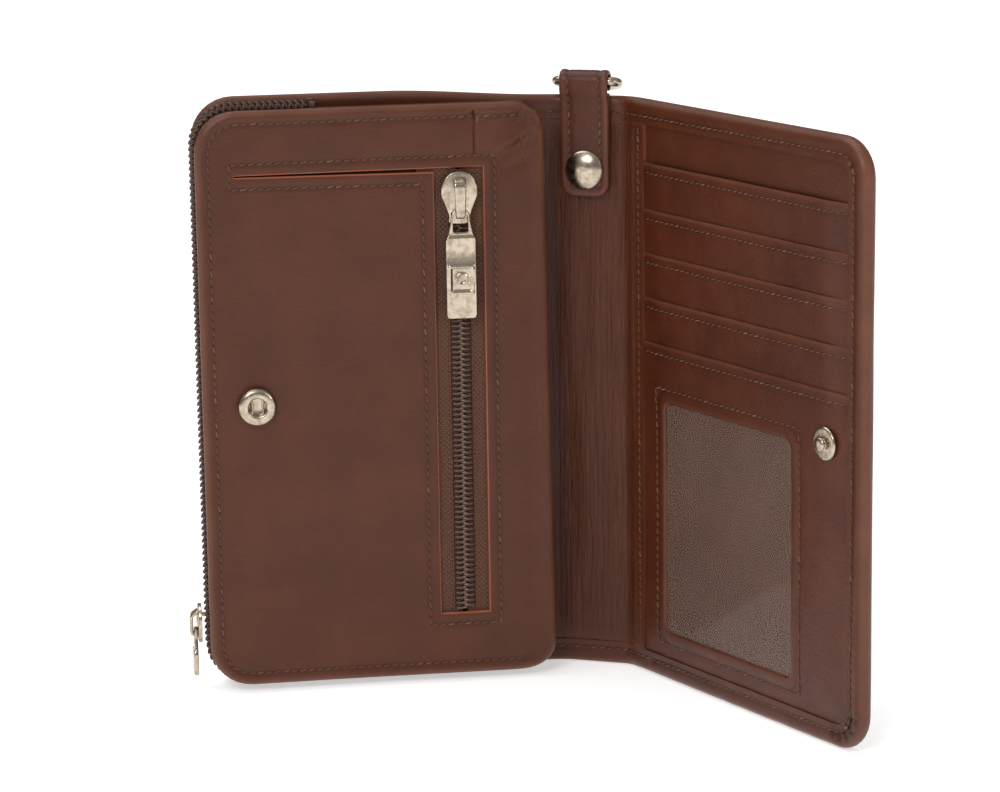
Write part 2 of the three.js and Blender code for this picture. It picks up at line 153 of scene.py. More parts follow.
def inset(line, distance):
    """A closed anticlockwise line moved inwards."""
    before = unit(line - np.roll(line, 1, 0))
    after = unit(np.roll(line, -1, 0) - line)
    n1 = np.c_[-before[:, 1], before[:, 0]]
    n2 = np.c_[-after[:, 1], after[:, 0]]
    return line + distance * (n1 + n2) / (1 + (n1 * n2).sum(1, keepdims=True))


def divided(line, step, counts_of=None):
    """A closed line with extra points, at most a step apart."""
    like = line if counts_of is None else counts_of
    ends, like_ends = np.roll(line, -1, 0), np.roll(like, -1, 0)
    out = []
    for p, q, length in zip(line, ends, np.linalg.norm(like_ends - like, axis=1)):
        n = max(1, math.ceil(length / step))
        out.extend(p + (q - p) * k / n for k in range(n))
    return np.array(out)


def divided_open(line, step):
    """An open line with extra points, at most a step apart."""
    out = []
    for p, q in zip(line, line[1:]):
        p, q = np.array(p, float), np.array(q, float)
        n = max(1, math.ceil(np.linalg.norm(q - p) / step))
        out += [p + (q - p) * k / n for k in range(n)]
    return [*out, np.array(line[-1], float)]


def gap_to(points, line, closed=True):
    """Distance from each point to a line."""
    a = line if closed else line[:-1]
    b = np.roll(line, -1, 0) if closed else line[1:]
    best = np.full(len(points), 1e9)
    for p, q in zip(a, b):
        d = q - p
        t = np.clip((points - p) @ d / max(d @ d, 1e-12), 0, 1)
        best = np.minimum(best, np.linalg.norm(points - p - t[:, None] * d, axis=1))
    return best


def inside(points, line):
    """Which points lie inside a closed line."""
    odd = np.zeros(len(points), bool)
    for p, q in zip(line, np.roll(line, -1, 0)):
        if p[1] == q[1]:
            continue
        crosses = (p[1] > points[:, 1]) != (q[1] > points[:, 1])
        x = p[0] + (points[:, 1] - p[1]) * (q[0] - p[0]) / (q[1] - p[1])
        odd ^= crosses & (points[:, 0] < x)
    return odd


CLEAR_OF_ROWS = 0.62                # nearest that a filling point comes to a row, as a share of their spacing
ON_EDGE = 1e-4                      # points nearer to the outline than this lie on it


class Pattern:
    """A flat shape filled with triangles. Rows of points follow its edge and its holes at given distances.

    lines are straight cuts that the triangles keep to, grids are finer fillings of a part of the shape,
    and only what lies between the two ends of trim is kept."""

    def __init__(self, outline, step, rows=(0,), holes=(), hole_rows=(0,), lines=(), trim=(-1e9, 1e9),
                 grids=()):
        self.outline, self.holes = outline, holes
        loops = [divided(inset(outline, d), step, outline) for d in rows]
        for hole in holes:
            loops += [divided(inset(hole, -d), step, hole) for d in hole_rows]
        points, edges = [], []
        for loop in loops:
            first = len(points)
            points += list(loop)
            edges += [(first + k, first + (k + 1) % len(loop)) for k in range(len(loop))]
        for p, q in lines:
            p, q = np.array(p, float), np.array(q, float)
            n = max(1, math.ceil(np.linalg.norm(q - p) / step))
            edges += [(len(points) + k, len(points) + k + 1) for k in range(n)]
            points += [p + (q - p) * k / n for k in range(n + 1)]
        tree = kdtree.KDTree(len(points))
        for i, p in enumerate(points):
            tree.insert((p[0], p[1], 0), i)
        tree.balance()
        low, high = outline.min(0), outline.max(0)
        for a0, b0, a1, b1, da, db in [(*low, *high, step, step), *grids]:
            for i, a in enumerate(np.arange(a0 + da / 2, a1, da)):
                for b in np.arange(b0 + db / 2 * (1 + i % 2), b1, db):
                    if tree.find((a, b, 0))[2] > CLEAR_OF_ROWS * min(da, db):
                        points.append(np.array((a, b)))
        flat, _, faces, _, _, _ = geometry.delaunay_2d_cdt([Vector(p) for p in points], edges, [], 0, 1e-5)
        flat, faces = np.array([tuple(p) for p in flat]), np.array(faces)
        middle = flat[faces].mean(1)
        keep = inside(middle, outline) & (middle[:, 0] > trim[0]) & (middle[:, 0] < trim[1])
        for hole in holes:
            keep &= ~inside(middle, hole)
        faces = faces[keep]
        turn = np.cross(flat[faces[:, 1]] - flat[faces[:, 0]], flat[faces[:, 2]] - flat[faces[:, 0]])
        faces = faces[np.abs(turn) > 1e-7]
        turn = turn[np.abs(turn) > 1e-7]
        faces[turn < 0] = faces[turn < 0][:, ::-1]
        used, self.faces = np.unique(faces, return_inverse=True)
        self.faces = self.faces.reshape(-1, 3)
        self.points = flat[used]
        self.a, self.b = self.points.T
        self.edge = gap_to(self.points, outline)
        self.hole = [gap_to(self.points, hole) for hole in holes]

    def solid(self, front, back):
        """Vertices (a, depth, b) and faces of the shape between two surfaces.

        The surfaces share their points where they meet."""
        n = len(self.points)
        vertices = np.r_[np.c_[self.a, front, self.b], np.c_[self.a, back, self.b]]
        twin = np.where(np.abs(front - back) < 1e-3, np.arange(n), np.arange(n) + n)
        sides = {}
        for f in self.faces:
            for p, q in ((f[0], f[1]), (f[1], f[2]), (f[2], f[0])):
                if not sides.pop((q, p), None):
                    sides[(p, q)] = True
        faces = self.faces.tolist() + twin[self.faces[:, ::-1]].tolist()
        for p, q in sides:
            wall = list(dict.fromkeys([p, twin[p], twin[q], q]))
            if len(wall) > 2:
                faces.append([int(i) for i in wall])
        return vertices, [f for f in faces if len(set(f)) == len(f)]


class Track:
    """A line in a plane, with the point and the normal at any length along it."""

    def __init__(self, points, lengths=None, normals=None):
        self.p = np.array(points, float)
        steps = np.linalg.norm(np.diff(self.p, axis=0), axis=1)
        self.s = np.r_[0, np.cumsum(steps)] if lengths is None else np.array(lengths, float)
        along = unit(np.gradient(self.p, self.s, axis=0))
        self.n = np.c_[-along[:, 1], along[:, 0]] if normals is None else np.array(normals, float)

    def at(self, s):
        point = np.c_[np.interp(s, self.s, self.p[:, 0]), np.interp(s, self.s, self.p[:, 1])]
        normal = np.c_[np.interp(s, self.s, self.n[:, 0]), np.interp(s, self.s, self.n[:, 1])]
        return point, unit(normal)


def bent(points, radius, parts=6):
    """An open line of corners, with each inner corner rounded in a few parts."""
    points = [np.array(p, float) for p in points]
    line = [points[0]]
    for before, corner, after in zip(points, points[1:], points[2:]):
        u, v = unit(before - corner), unit(after - corner)
        half = math.acos(np.clip(-(u @ v), -1, 1)) / 2
        reach = radius * math.tan(half)
        start, end = corner + u * reach, corner + v * reach
        for k in range(parts + 1):
            t = k / parts
            line.append((1 - t) ** 2 * start + 2 * t * (1 - t) * corner + t * t * end)
    return line + [points[-1]]


def leather_track():
    """The line that the outer leather follows, from the covers' free edge to the flap's, seen from above."""
    heading, here, length = 0.0, np.array((COVERS_AT.x, SPINE_AT.y)), 0.0
    points, lengths, normals = [here], [0.0], [(0.0, 1.0)]
    folds = [(SPINE_X, SPINE_HALF_FOLD, SPINE_TURN), (FLAP_X, FLAP_HALF_FOLD, FLAP_TURN)]
    for at, half, turn in folds:
        straight = at - half - length
        here = here + straight * np.array((math.cos(heading), math.sin(heading)))
        length = at - half
        radius = half / math.tan(turn / 2)
        centre = here - radius * np.array((-math.sin(heading), math.cos(heading)))
        for k in range(17):
            h = heading - turn * k / 16
            normal = np.array((-math.sin(h), math.cos(h)))
            points.append(centre + radius * normal)
            lengths.append(length + 2 * half * k / 16)
            normals.append(normal)
        heading, here, length = heading - turn, points[-1], lengths[-1]
    rest = FLAP_X + FLAP_W + 10 - length
    points.append(here + rest * np.array((math.cos(heading), math.sin(heading))))
    lengths.append(length + rest)
    normals.append(normals[-1])
    return Track(points, lengths, normals)


LEATHER_LINE = leather_track()


def wrap(vertices):
    """Bends (length along the leather, depth from the fold line, height) into the row frame."""
    point, normal = LEATHER_LINE.at(vertices[:, 0])
    height = vertices[:, 2] * (1 - FLAP_LOSS * ease(vertices[:, 0], 50, SPINE_X + 2))
    return np.c_[point + normal * vertices[:, 1:2], height]


def fold_ends(at, half):
    """Two points in metres, on both sides of a fold, between which the leather bends."""
    ends = wrap(np.array([(at - half, 0, 0), (at + half, 0, 0)], float)) * MM
    return tuple(ends[0]), tuple(ends[1])


# ---------------------------------------------------------------- wires, turned parts, stitches


def tube(path, radius, sides=8, closed=False):
    """A round wire along points in space. radius is a number or one value for each point."""
    path = np.array(path, float)
    n = len(path)
    radius = np.broadcast_to(radius, n)
    along = unit(np.roll(path, -1, 0) - np.roll(path, 1, 0))
    if not closed:
        along[0], along[-1] = unit(path[1] - path[0]), unit(path[-1] - path[-2])
    side = np.empty_like(path)
    start = np.cross(along[0], (0, 0, 1) if abs(along[0][2]) < 0.9 else (1, 0, 0))
    side[0] = unit(start)
    for i in range(1, n):
        side[i] = unit(side[i - 1] - along[i] * (side[i - 1] @ along[i]))
    up = np.cross(along, side)
    angles = np.arange(sides) * 2 * math.pi / sides
    rings = (path[:, None] + radius[:, None, None] * (
        np.cos(angles)[None, :, None] * side[:, None] + np.sin(angles)[None, :, None] * up[:, None]))
    vertices = rings.reshape(-1, 3)
    faces = []
    for i in range(n if closed else n - 1):
        j = (i + 1) % n
        for k in range(sides):
            m = (k + 1) % sides
            faces.append([i * sides + k, i * sides + m, j * sides + m, j * sides + k])
    if not closed:
        faces.append(list(range(sides))[::-1])
        faces.append([(n - 1) * sides + k for k in range(sides)])
    return vertices, faces


def turned(profile, at, sides):
    """A profile of (radius, depth) pairs turned about the Y axis through a point (x, y, z)."""
    vertices, faces, rings = [], [], []
    for r, y in profile:
        if r < 1e-6:
            rings.append([len(vertices)])
            vertices.append((0, y, 0))
            continue
        rings.append(list(range(len(vertices), len(vertices) + sides)))
        for k in range(sides):
            a = 2 * math.pi * k / sides
            vertices.append((r * math.cos(a), y, r * math.sin(a)))
    for one, two in zip(rings, rings[1:]):
        for k in range(sides):
            m = (k + 1) % sides
            face = [one[k % len(one)], two[k % len(two)], two[m % len(two)], one[m % len(one)]]
            face = list(dict.fromkeys(face))
            if len(face) > 2:
                faces.append(face)
    return np.array(vertices) + np.array(at), faces


def spun(points, parts):
    """A smooth line through (radius, depth) points of a turned part, in a few parts for each step."""
    p = [np.array(q, float) for q in points]
    p = [2 * p[0] - p[1], *p, 2 * p[-1] - p[-2]]
    line = []
    for a, b, c, d in zip(p, p[1:], p[2:], p[3:]):
        m0, m1 = (c - a) * 0.5, (d - b) * 0.5
        for k in range(parts):
            t = k / parts
            line.append((2 * t**3 - 3 * t**2 + 1) * b + (t**3 - 2 * t**2 + t) * m0
                        + (3 * t**2 - 2 * t**3) * c + (t**3 - t**2) * m1)
    return [*line, p[-2]]


def joined(*parts):
    """Several (vertices, faces) as one."""
    vertices, faces, count = [], [], 0
    for v, f in parts:
        vertices.append(v)
        faces += [[i + count for i in face] for face in f]
        count += len(v)
    return np.concatenate(vertices), faces


STITCH_PITCH = 2.25
STITCH_LENGTH = 1.9
THREAD = 0.2
dice = np.random.default_rng(41)


def stitches(line, level, closed=False, sign=-1, slant=0.2, pitch=STITCH_PITCH):
    """Threads along a line on a surface: level(points) is its depth, and sign the side that it faces. Each
    prick hole also holds a short tube of tone -1, near-black painted shade in the hole.
    """
    line = np.array(line, float)
    if closed:
        line = np.r_[line, line[:1]]
    track = Track(line)
    total = track.s[-1]
    count = max(1, round(total / pitch))
    parts = []
    for k in range(count):
        middle = (k + 0.5) * total / count
        s = middle + STITCH_LENGTH * np.linspace(-0.5, 0.5, 5)
        flat, _ = track.at(np.clip(s, 0, total))
        along = unit(flat[-1] - flat[0])
        flat = flat + np.outer(np.linspace(-1, 1, 5) * slant, (-along[1], along[0]))
        sunk = np.array((0.3, 0.0, -0.06, 0.0, 0.3)) + dice.uniform(-0.03, 0.03)
        face = level(flat[2:3])[0]
        depth = face + sign * (0.11 - sunk)
        parts.append((tube(np.c_[flat[:, 0], depth, flat[:, 1]], THREAD * np.array((0.6, 1, 1, 1, 0.6)), 6),
                      dice.uniform(0, 1) ** 1.5))
        prick, _ = track.at(np.array((k * total / count,)))
        # painted shade: a near-black plug in each prick hole, made dark by its tone of -1
        painted_hole_shade = [(prick[0, 0], face + sign * d, prick[0, 1]) for d in (0.05, -0.25)]
        parts.append((tube(painted_hole_shade, 0.21, 6), -1.0))
    tone = np.concatenate([np.full(len(v), t) for (v, _), t in parts])
    return joined(*[p for p, _ in parts]), tone


def lookup(pattern, surface):
    """A function that gives a surface's depth at the pattern's nearest point."""
    tree = kdtree.KDTree(len(pattern.points))
    for i, (a, b) in enumerate(pattern.points):
        tree.insert((a, b, 0), i)
    tree.balance()
    return lambda flat: np.array([surface[tree.find((a, b, 0))[1]] for a, b in flat])


def merged(*threads):
    """Several rows of stitches as one shape, with the tone of each thread."""
    shape = joined(*[s for s, _ in threads])
    return shape, np.concatenate([t for _, t in threads])


# ---------------------------------------------------------------- pieces


def piece(name, shape, look, slot, place, sharp=38, **masks):
    """A mesh in the row frame. place is a matrix or a bending function. Each mask is one value for
    every vertex, and the mask named flat keeps the pattern's own millimetres for the materials."""
    vertices, faces = shape
    if isinstance(place, Matrix):
        row = (np.c_[vertices, np.ones(len(vertices))] @ np.array(place).T)[:, :3]
    else:
        row = place(vertices)
    mesh = bpy.data.meshes.new(name)
    mesh.from_pydata((row * MM).tolist(), [], faces)
    made = bmesh.new()
    made.from_mesh(mesh)
    bmesh.ops.recalc_face_normals(made, faces=made.faces)
    made.to_mesh(mesh)
    made.free()
    masks["flat"] = vertices
    for mask, values in masks.items():
        values = np.asarray(values, np.float32)
        kind = ("FLOAT_VECTOR", "vector") if values.ndim == 2 else ("FLOAT", "value")
        mesh.attributes.new(mask, kind[0], "POINT").data.foreach_set(kind[1], values.ravel())
    mesh.polygons.foreach_set("use_smooth", [True] * len(mesh.polygons))
    mesh.set_sharp_from_angle(angle=math.radians(sharp))
    mesh.materials.append(look)
    obj = bpy.data.objects.new(name, mesh)
    bpy.context.scene.collection.objects.link(obj)
    return obj


def two_sided(front, back):
    """A mask of a solid pattern, from the masks of its two surfaces."""
    return np.r_[front, back]


# ---------------------------------------------------------------- materials


def node(tree, kind, inputs=None, **settings):
    """A node with its settings and inputs. An input is a value or another node's socket."""
    made = tree.nodes.new("ShaderNode" + kind)
    for key, value in settings.items():
        setattr(made, key, value)
    for key, value in (inputs or {}).items():
        if isinstance(value, bpy.types.NodeSocket):
            tree.links.new(value, made.inputs[key])
        else:
            made.inputs[key].default_value = value
    return made


def group(name, inputs, outputs, build):
    """A shader node group. build(tree, sockets) returns a socket for each output."""
    tree = bpy.data.node_groups.new(name, "ShaderNodeTree")
    for socket, kind in inputs.items():
        tree.interface.new_socket(socket, in_out="INPUT", socket_type="NodeSocket" + kind)
    for socket, kind in outputs.items():
        tree.interface.new_socket(socket, in_out="OUTPUT", socket_type="NodeSocket" + kind)
    entry, leave = tree.nodes.new("NodeGroupInput"), tree.nodes.new("NodeGroupOutput")
    for socket, value in build(tree, entry.outputs).items():
        tree.links.new(value, leave.inputs[socket])
    return tree


def maths(tree, operation, a, b=0.0, c=0.0):
    return node(tree, "Math", {0: a, 1: b, 2: c}, operation=operation).outputs[0]


def spread(tree, value, low, high, to_low=0.0, to_high=1.0):
    """A value between low and high, mapped to a new range."""
    made = node(tree, "MapRange", {"Value": value, "From Min": low, "From Max": high,
                                   "To Min": to_low, "To Max": to_high})
    return made.outputs[0]


def mixed(tree, share, a, b):
    """Two colours mixed: a where the share is 0 and b where it is 1."""
    return node(tree, "Mix", {0: share, 6: a, 7: b}, data_type="RGBA").outputs[2]


def stretched(tree, vector, scale):
    return node(tree, "VectorMath", {0: vector, 1: scale}, operation="MULTIPLY").outputs[0]


def grain_nodes(tree, given):
    """Fine pebbled grain, pores, and soft creases that run one way."""
    place = given["Place"]
    cells = node(tree, "TexVoronoi", {"Vector": place, "Scale": 1.5, "Randomness": 1.0}, feature="SMOOTH_F1")
    fine = node(tree, "TexNoise", {"Vector": place, "Scale": 2.6, "Detail": 5.0, "Roughness": 0.62})
    creases = node(tree, "TexNoise", {"Vector": stretched(tree, place, (0.10, 0.3, 0.45)), "Scale": 1.0,
                                      "Detail": 6.0, "Roughness": 0.66, "Distortion": 0.7})
    clouds = node(tree, "TexNoise", {"Vector": place, "Scale": 0.05, "Detail": 4.0, "Roughness": 0.6})
    pebbles = spread(tree, cells.outputs["Distance"], 0.0, 0.62, 1.0, 0.0)
    bumps = maths(tree, "MULTIPLY_ADD", pebbles, 0.45, fine.outputs["Fac"])
    pores = spread(tree, fine.outputs["Fac"], 0.36, 0.28)
    wrinkles = node(tree, "TexNoise", {"Vector": stretched(tree, place, (1.0, 0.2, 0.05)), "Scale": 1.0,
                                       "Detail": 4.0, "Roughness": 0.6, "Distortion": 0.5})
    pull = maths(tree, "MULTIPLY", given["Wrinkled"], 7.0)
    pulled = maths(tree, "MULTIPLY_ADD", wrinkles.outputs["Fac"], pull, bumps)
    return {"Height": maths(tree, "MULTIPLY_ADD", creases.outputs["Fac"], 1.3, pulled),
            "Pores": pores, "Clouds": clouds.outputs["Fac"], "Creases": creases.outputs["Fac"]}


def crossing_nodes(tree, given):
    """Threads that cross over and under each other. Pitch is threads to a millimetre."""
    parts = node(tree, "SeparateXYZ", {0: given["Place"]})
    across = maths(tree, "ADD", parts.outputs["X"], parts.outputs["Y"])
    u = maths(tree, "MULTIPLY", across, given["Pitch"])
    v = maths(tree, "MULTIPLY", parts.outputs["Z"], given["Pitch"])
    warp = maths(tree, "ABSOLUTE", maths(tree, "SINE", maths(tree, "MULTIPLY", u, math.pi)))
    weft = maths(tree, "ABSOLUTE", maths(tree, "SINE", maths(tree, "MULTIPLY", v, math.pi)))
    cell = maths(tree, "ADD", maths(tree, "FLOOR", u), maths(tree, "FLOOR", v))
    over = maths(tree, "FLOORED_MODULO", cell, 2.0)
    height = node(tree, "Mix", {0: over, 2: warp, 3: weft}, data_type="FLOAT").outputs[0]
    fuzz = node(tree, "TexNoise", {"Vector": given["Place"], "Scale": 3.0, "Detail": 3.0})
    return {"Height": height, "Over": over, "Fuzz": fuzz.outputs["Fac"]}


def polish_nodes(tree, given):
    """Fine scratches, small dents and a dull film that plated metal picks up."""
    lines = node(tree, "TexNoise", {"Vector": stretched(tree, given["Place"], (5.0, 5.0, 0.5)), "Scale": 1.6,
                                    "Detail": 4.0, "Roughness": 0.7})
    film = node(tree, "TexNoise", {"Vector": given["Place"], "Scale": 0.5, "Detail": 4.0, "Roughness": 0.6})
    dents = node(tree, "TexNoise", {"Vector": given["Place"], "Scale": 0.9, "Detail": 2.0})
    return {"Lines": lines.outputs["Fac"], "Film": film.outputs["Fac"], "Dents": dents.outputs["Fac"]}


def wear_nodes(tree, given):
    """A surface colour that gives way to a worn colour where the mask is high and the clouds allow it."""
    share = maths(tree, "MULTIPLY", given["Mask"], spread(tree, given["Clouds"], 0.3, 0.6, 0.55, 1.0))
    return {"Colour": mixed(tree, share, given["Colour"], given["Worn"])}


GRAIN = group("leather grain", {"Place": "Vector", "Wrinkled": "Float"},
              {"Height": "Float", "Pores": "Float", "Clouds": "Float", "Creases": "Float"}, grain_nodes)
CROSSING = group("crossing threads", {"Place": "Vector", "Pitch": "Float"},
                 {"Height": "Float", "Over": "Float", "Fuzz": "Float"}, crossing_nodes)
POLISH = group("plated metal", {"Place": "Vector"},
               {"Lines": "Float", "Film": "Float", "Dents": "Float"}, polish_nodes)
WEAR = group("wear", {"Colour": "Color", "Worn": "Color", "Mask": "Float", "Clouds": "Float"},
             {"Colour": "Color"}, wear_nodes)


def finish_of(name, colour):
    """A new material, its node tree and shader, and the socket with the pattern's own millimetres."""
    material = bpy.data.materials.new(name)
    material.use_nodes = True
    material.diffuse_color = colour
    tree = material.node_tree
    shader = tree.nodes["Principled BSDF"]
    place = node(tree, "Attribute", attribute_name="flat").outputs["Vector"]
    return material, tree, shader, place


def placed(tree, effect, inputs):
    """The outputs of a node group that is placed in a material."""
    return node(tree, "Group", inputs, node_tree=effect).outputs


def mask_of(tree, name):
    return node(tree, "Attribute", attribute_name=name).outputs["Fac"]


def bumped(tree, shader, height, distance):
    """Relief whose full height is a distance in millimetres."""
    bump = node(tree, "Bump", {"Height": height, "Distance": distance * MM, "Strength": 1.0})
    tree.links.new(bump.outputs["Normal"], shader.inputs["Normal"])


LEATHER_ROUGH, LEATHER_COAT = 0.38, 0.08
GRAIN_DEPTH = 0.085


def leather(name, colour, dark, worn, raw):
    """Smooth finished leather: clouded dye, grain, dark stitch channels, painted shade in the gathers of a flap
    corner, rubbed edges and pale cut edges.
    """
    material, tree, shader, place = finish_of(name, colour)
    grain = placed(tree, GRAIN, {"Place": place, "Wrinkled": mask_of(tree, "wrinkled")})
    dyed = mixed(tree, spread(tree, grain["Clouds"], 0.32, 0.68), dark, colour)
    dyed = mixed(tree, maths(tree, "MULTIPLY", grain["Pores"], 0.45), dyed, dark)
    rubbed = placed(tree, WEAR, {"Colour": dyed, "Worn": worn, "Mask": mask_of(tree, "edge"),
                                 "Clouds": grain["Clouds"]})["Colour"]
    # the seam mask darkens the stitch channels and, on the flap, puts painted shade in the corner's gathers
    channel_and_gather_shade = mixed(tree, maths(tree, "MULTIPLY", mask_of(tree, "seam"), 0.6), rubbed,
                    tuple(c * 0.35 for c in dark[:3]) + (1,))
    cut = mixed(tree, mask_of(tree, "raw"), channel_and_gather_shade, raw)
    tree.links.new(cut, shader.inputs["Base Color"])
    rough = spread(tree, grain["Creases"], 0.3, 0.7, LEATHER_ROUGH + 0.07, LEATHER_ROUGH - 0.07)
    rough = maths(tree, "MULTIPLY_ADD", mask_of(tree, "raw"), 0.4, rough)
    tree.links.new(rough, shader.inputs["Roughness"])
    shader.inputs["Coat Weight"].default_value = LEATHER_COAT
    shader.inputs["Coat Roughness"].default_value = 0.3
    shader.inputs["Specular IOR Level"].default_value = 0.27
    bumped(tree, shader, grain["Height"], GRAIN_DEPTH)
    return material


def woven(name, colour, other, pitch, depth):
    """Plain woven cloth of two threads, with painted shade in the gaps between the threads."""
    material, tree, shader, place = finish_of(name, colour)
    threads = placed(tree, CROSSING, {"Place": place, "Pitch": pitch})
    shade = mixed(tree, threads["Over"], colour, other)
    shade = mixed(tree, spread(tree, threads["Fuzz"], 0.35, 0.7), shade, other)
    # painted shade: near-black where the threads sink, in the gaps between them
    shade = mixed(tree, spread(tree, threads["Height"], 0.0, 0.6, 0.75, 0.0), shade, (0.008, 0.004, 0.003, 1))
    tree.links.new(shade, shader.inputs["Base Color"])
    tree.links.new(spread(tree, threads["Fuzz"], 0.0, 1.0, 0.7, 0.95), shader.inputs["Roughness"])
    shader.inputs["Sheen Weight"].default_value = 0.08
    bumped(tree, shader, threads["Height"], depth)
    return material


def metal(name, colour, dull, roughness):
    """Plated metal that dulls in patches, with fine scratches and small dents."""
    material, tree, shader, place = finish_of(name, colour)
    wear = placed(tree, POLISH, {"Place": place})
    shade = mixed(tree, spread(tree, wear["Film"], 0.42, 0.72), colour, dull)
    tree.links.new(shade, shader.inputs["Base Color"])
    rough = spread(tree, wear["Film"], 0.35, 0.7, roughness, roughness + 0.16)
    rough = maths(tree, "MULTIPLY_ADD", wear["Lines"], 0.1, rough)
    tree.links.new(rough, shader.inputs["Roughness"])
    shader.inputs["Metallic"].default_value = 1.0
    height = maths(tree, "MULTIPLY_ADD", wear["Dents"], 2.0, wear["Lines"])
    bumped(tree, shader, height, 0.012)
    return material


def nylon(name, colour, light):
    """Moulded coil wire: shiny, lighter in random patches, with a painted highlight along the middle of the
    coin zip's coil, where its tone mask is high.
    """
    material, tree, shader, place = finish_of(name, colour)
    wear = placed(tree, POLISH, {"Place": place})
    # painted highlight: the tone mask lightens the coin zip's coil along its middle
    crown = mask_of(tree, "tone")
    shade = mixed(tree, maths(tree, "MULTIPLY_ADD", wear["Film"], 0.25, crown), colour, light)
    tree.links.new(shade, shader.inputs["Base Color"])
    tree.links.new(spread(tree, wear["Lines"], 0.2, 0.8, 0.28, 0.45), shader.inputs["Roughness"])
    bumped(tree, shader, wear["Lines"], 0.02)
    return material


def thread(name, colour, light, dark):
    """Twisted sewing thread whose colour changes at random from stitch to stitch, with painted shade in the
    grooves of its twist and near-black painted shade where its tone is negative.
    """
    material, tree, shader, place = finish_of(name, colour)
    tone = mask_of(tree, "tone")
    twist = node(tree, "TexWave", {"Vector": place, "Scale": 2.4, "Distortion": 1.0},
                 bands_direction="DIAGONAL")
    shade = mixed(tree, spread(tree, tone, 0.5, 1.0), colour, light)
    # painted shade: darker in the grooves of the twist, which the bump also sinks
    shade = mixed(tree, spread(tree, twist.outputs["Fac"], 0.6, 0.2, 0.0, 0.3), shade, dark)
    # painted shade: a negative tone, given to the plugs in the stitch holes, turns near-black
    shade = mixed(tree, spread(tree, tone, 0.0, -0.5), shade, dark)
    tree.links.new(shade, shader.inputs["Base Color"])
    tree.links.new(spread(tree, tone, 0.0, 1.0, 0.6, 0.5), shader.inputs["Roughness"])
    bumped(tree, shader, twist.outputs["Fac"], 0.06)
    return material


def clear_film(name):
    """Thin clear plastic, glossy, with a faint uneven haze."""
    haze = (0.3, 0.24, 0.2, 1)
    material, tree, shader, place = finish_of(name, haze)
    wear = placed(tree, POLISH, {"Place": stretched(tree, place, (0.08, 0.08, 0.08))})
    shader.inputs["Base Color"].default_value = haze
    tree.links.new(spread(tree, wear["Film"], 0.3, 0.8, 0.11, 0.17), shader.inputs["Alpha"])
    tree.links.new(spread(tree, wear["Film"], 0.3, 0.8, 0.05, 0.1), shader.inputs["Roughness"])
    shader.inputs["IOR"].default_value = 1.5
    return material


OUTER = leather("outer leather", colour=(0.086, 0.0208, 0.0066, 1), dark=(0.062, 0.0145, 0.0045, 1),
                worn=(0.15, 0.055, 0.03, 1), raw=(0.40, 0.12, 0.06, 1))
INNER = leather("inner leather", colour=(0.088, 0.02, 0.0062, 1), dark=(0.055, 0.011, 0.0035, 1),
                worn=(0.13, 0.045, 0.024, 1), raw=(0.45, 0.22, 0.13, 1))
LINING = woven("lining cloth", colour=(0.09, 0.045, 0.03, 1),
               other=(0.06, 0.03, 0.02, 1), pitch=1.6, depth=0.05)
TAPE = woven("zip tape", colour=(0.060, 0.018, 0.007, 1),
             other=(0.125, 0.05, 0.024, 1), pitch=1.5, depth=0.16)
POCKET = woven("pocket cloth", colour=(0.06, 0.03, 0.02, 1),
               other=(0.04, 0.02, 0.013, 1), pitch=2.2, depth=0.06)
# light is the colour of the random lighter patches and of the painted highlight along the coin zip's coil
COIL = nylon("zip coil", colour=(0.058, 0.022, 0.013, 1), light=(0.15, 0.095, 0.066, 1))
NICKEL = metal("nickel", colour=(0.50, 0.42, 0.33, 1), dull=(0.30, 0.235, 0.165, 1), roughness=0.13)
# its dark is near-black painted shade, for the grooves of the twist and the stitch holes
THREADS = thread("sewing thread", colour=(0.17, 0.056, 0.022, 1), light=(0.27, 0.12, 0.06, 1),
                 dark=(0.006, 0.003, 0.002, 1))
FILM = clear_film("clear film")

# ---------------------------------------------------------------- outer leather

OUTER_LEVEL, SPINE_OUTER_LEVEL = 0.8, 1.45      # depths from the fold line
INNER_LEVEL, SPINE_INNER_LEVEL = -1.6, -1.0
SLOT_LEVEL, BORDER_LEVEL = -1.55, -2.75
HALF_SPINE = SPINE_X + SPINE_W / 2
STEP = 0.14                                     # width of the small step at the inner edge of a border or strip
LEATHER_ROWS = (0, 0.06, 0.22, 0.5, 0.9, 1.4, 2.1, 3.0, 3.7, SEAM, 5.1, 5.9, BORDER, BORDER + STEP,
                BORDER + 0.9)
STRIP = (0.9, 5.9)                              # fold strip on the flap, from its fold


def run(outline, distance, low=-1e9, high=1e9):
    """The part of an inset outline between two lengths, as an open line that starts and ends on the cut."""
    line = inset(outline, distance)
    keep = (line[:, 0] > low) & (line[:, 0] < high)
    start = next(i for i in range(len(line)) if keep[i] and not keep[i - 1])
    line, keep = np.roll(line, -start, 0), np.roll(keep, -start)
    line = line[keep]
    cut = high if high < 1e8 else low
    return np.r_[[(cut, line[0][1])], line, [(cut, line[-1][1])]]


def crease(points, a, b, width):
    """A soft fold mark between two points of a pattern, deepest in its middle."""
    a, b = np.array(a, float), np.array(b, float)
    share = np.clip((points - a) @ (b - a) / ((b - a) @ (b - a)), 0, 1)
    across = bell(gap_to(points, np.array([a, b]), closed=False), width)
    return across * np.sqrt(np.sin(math.pi * share) + 0.02)


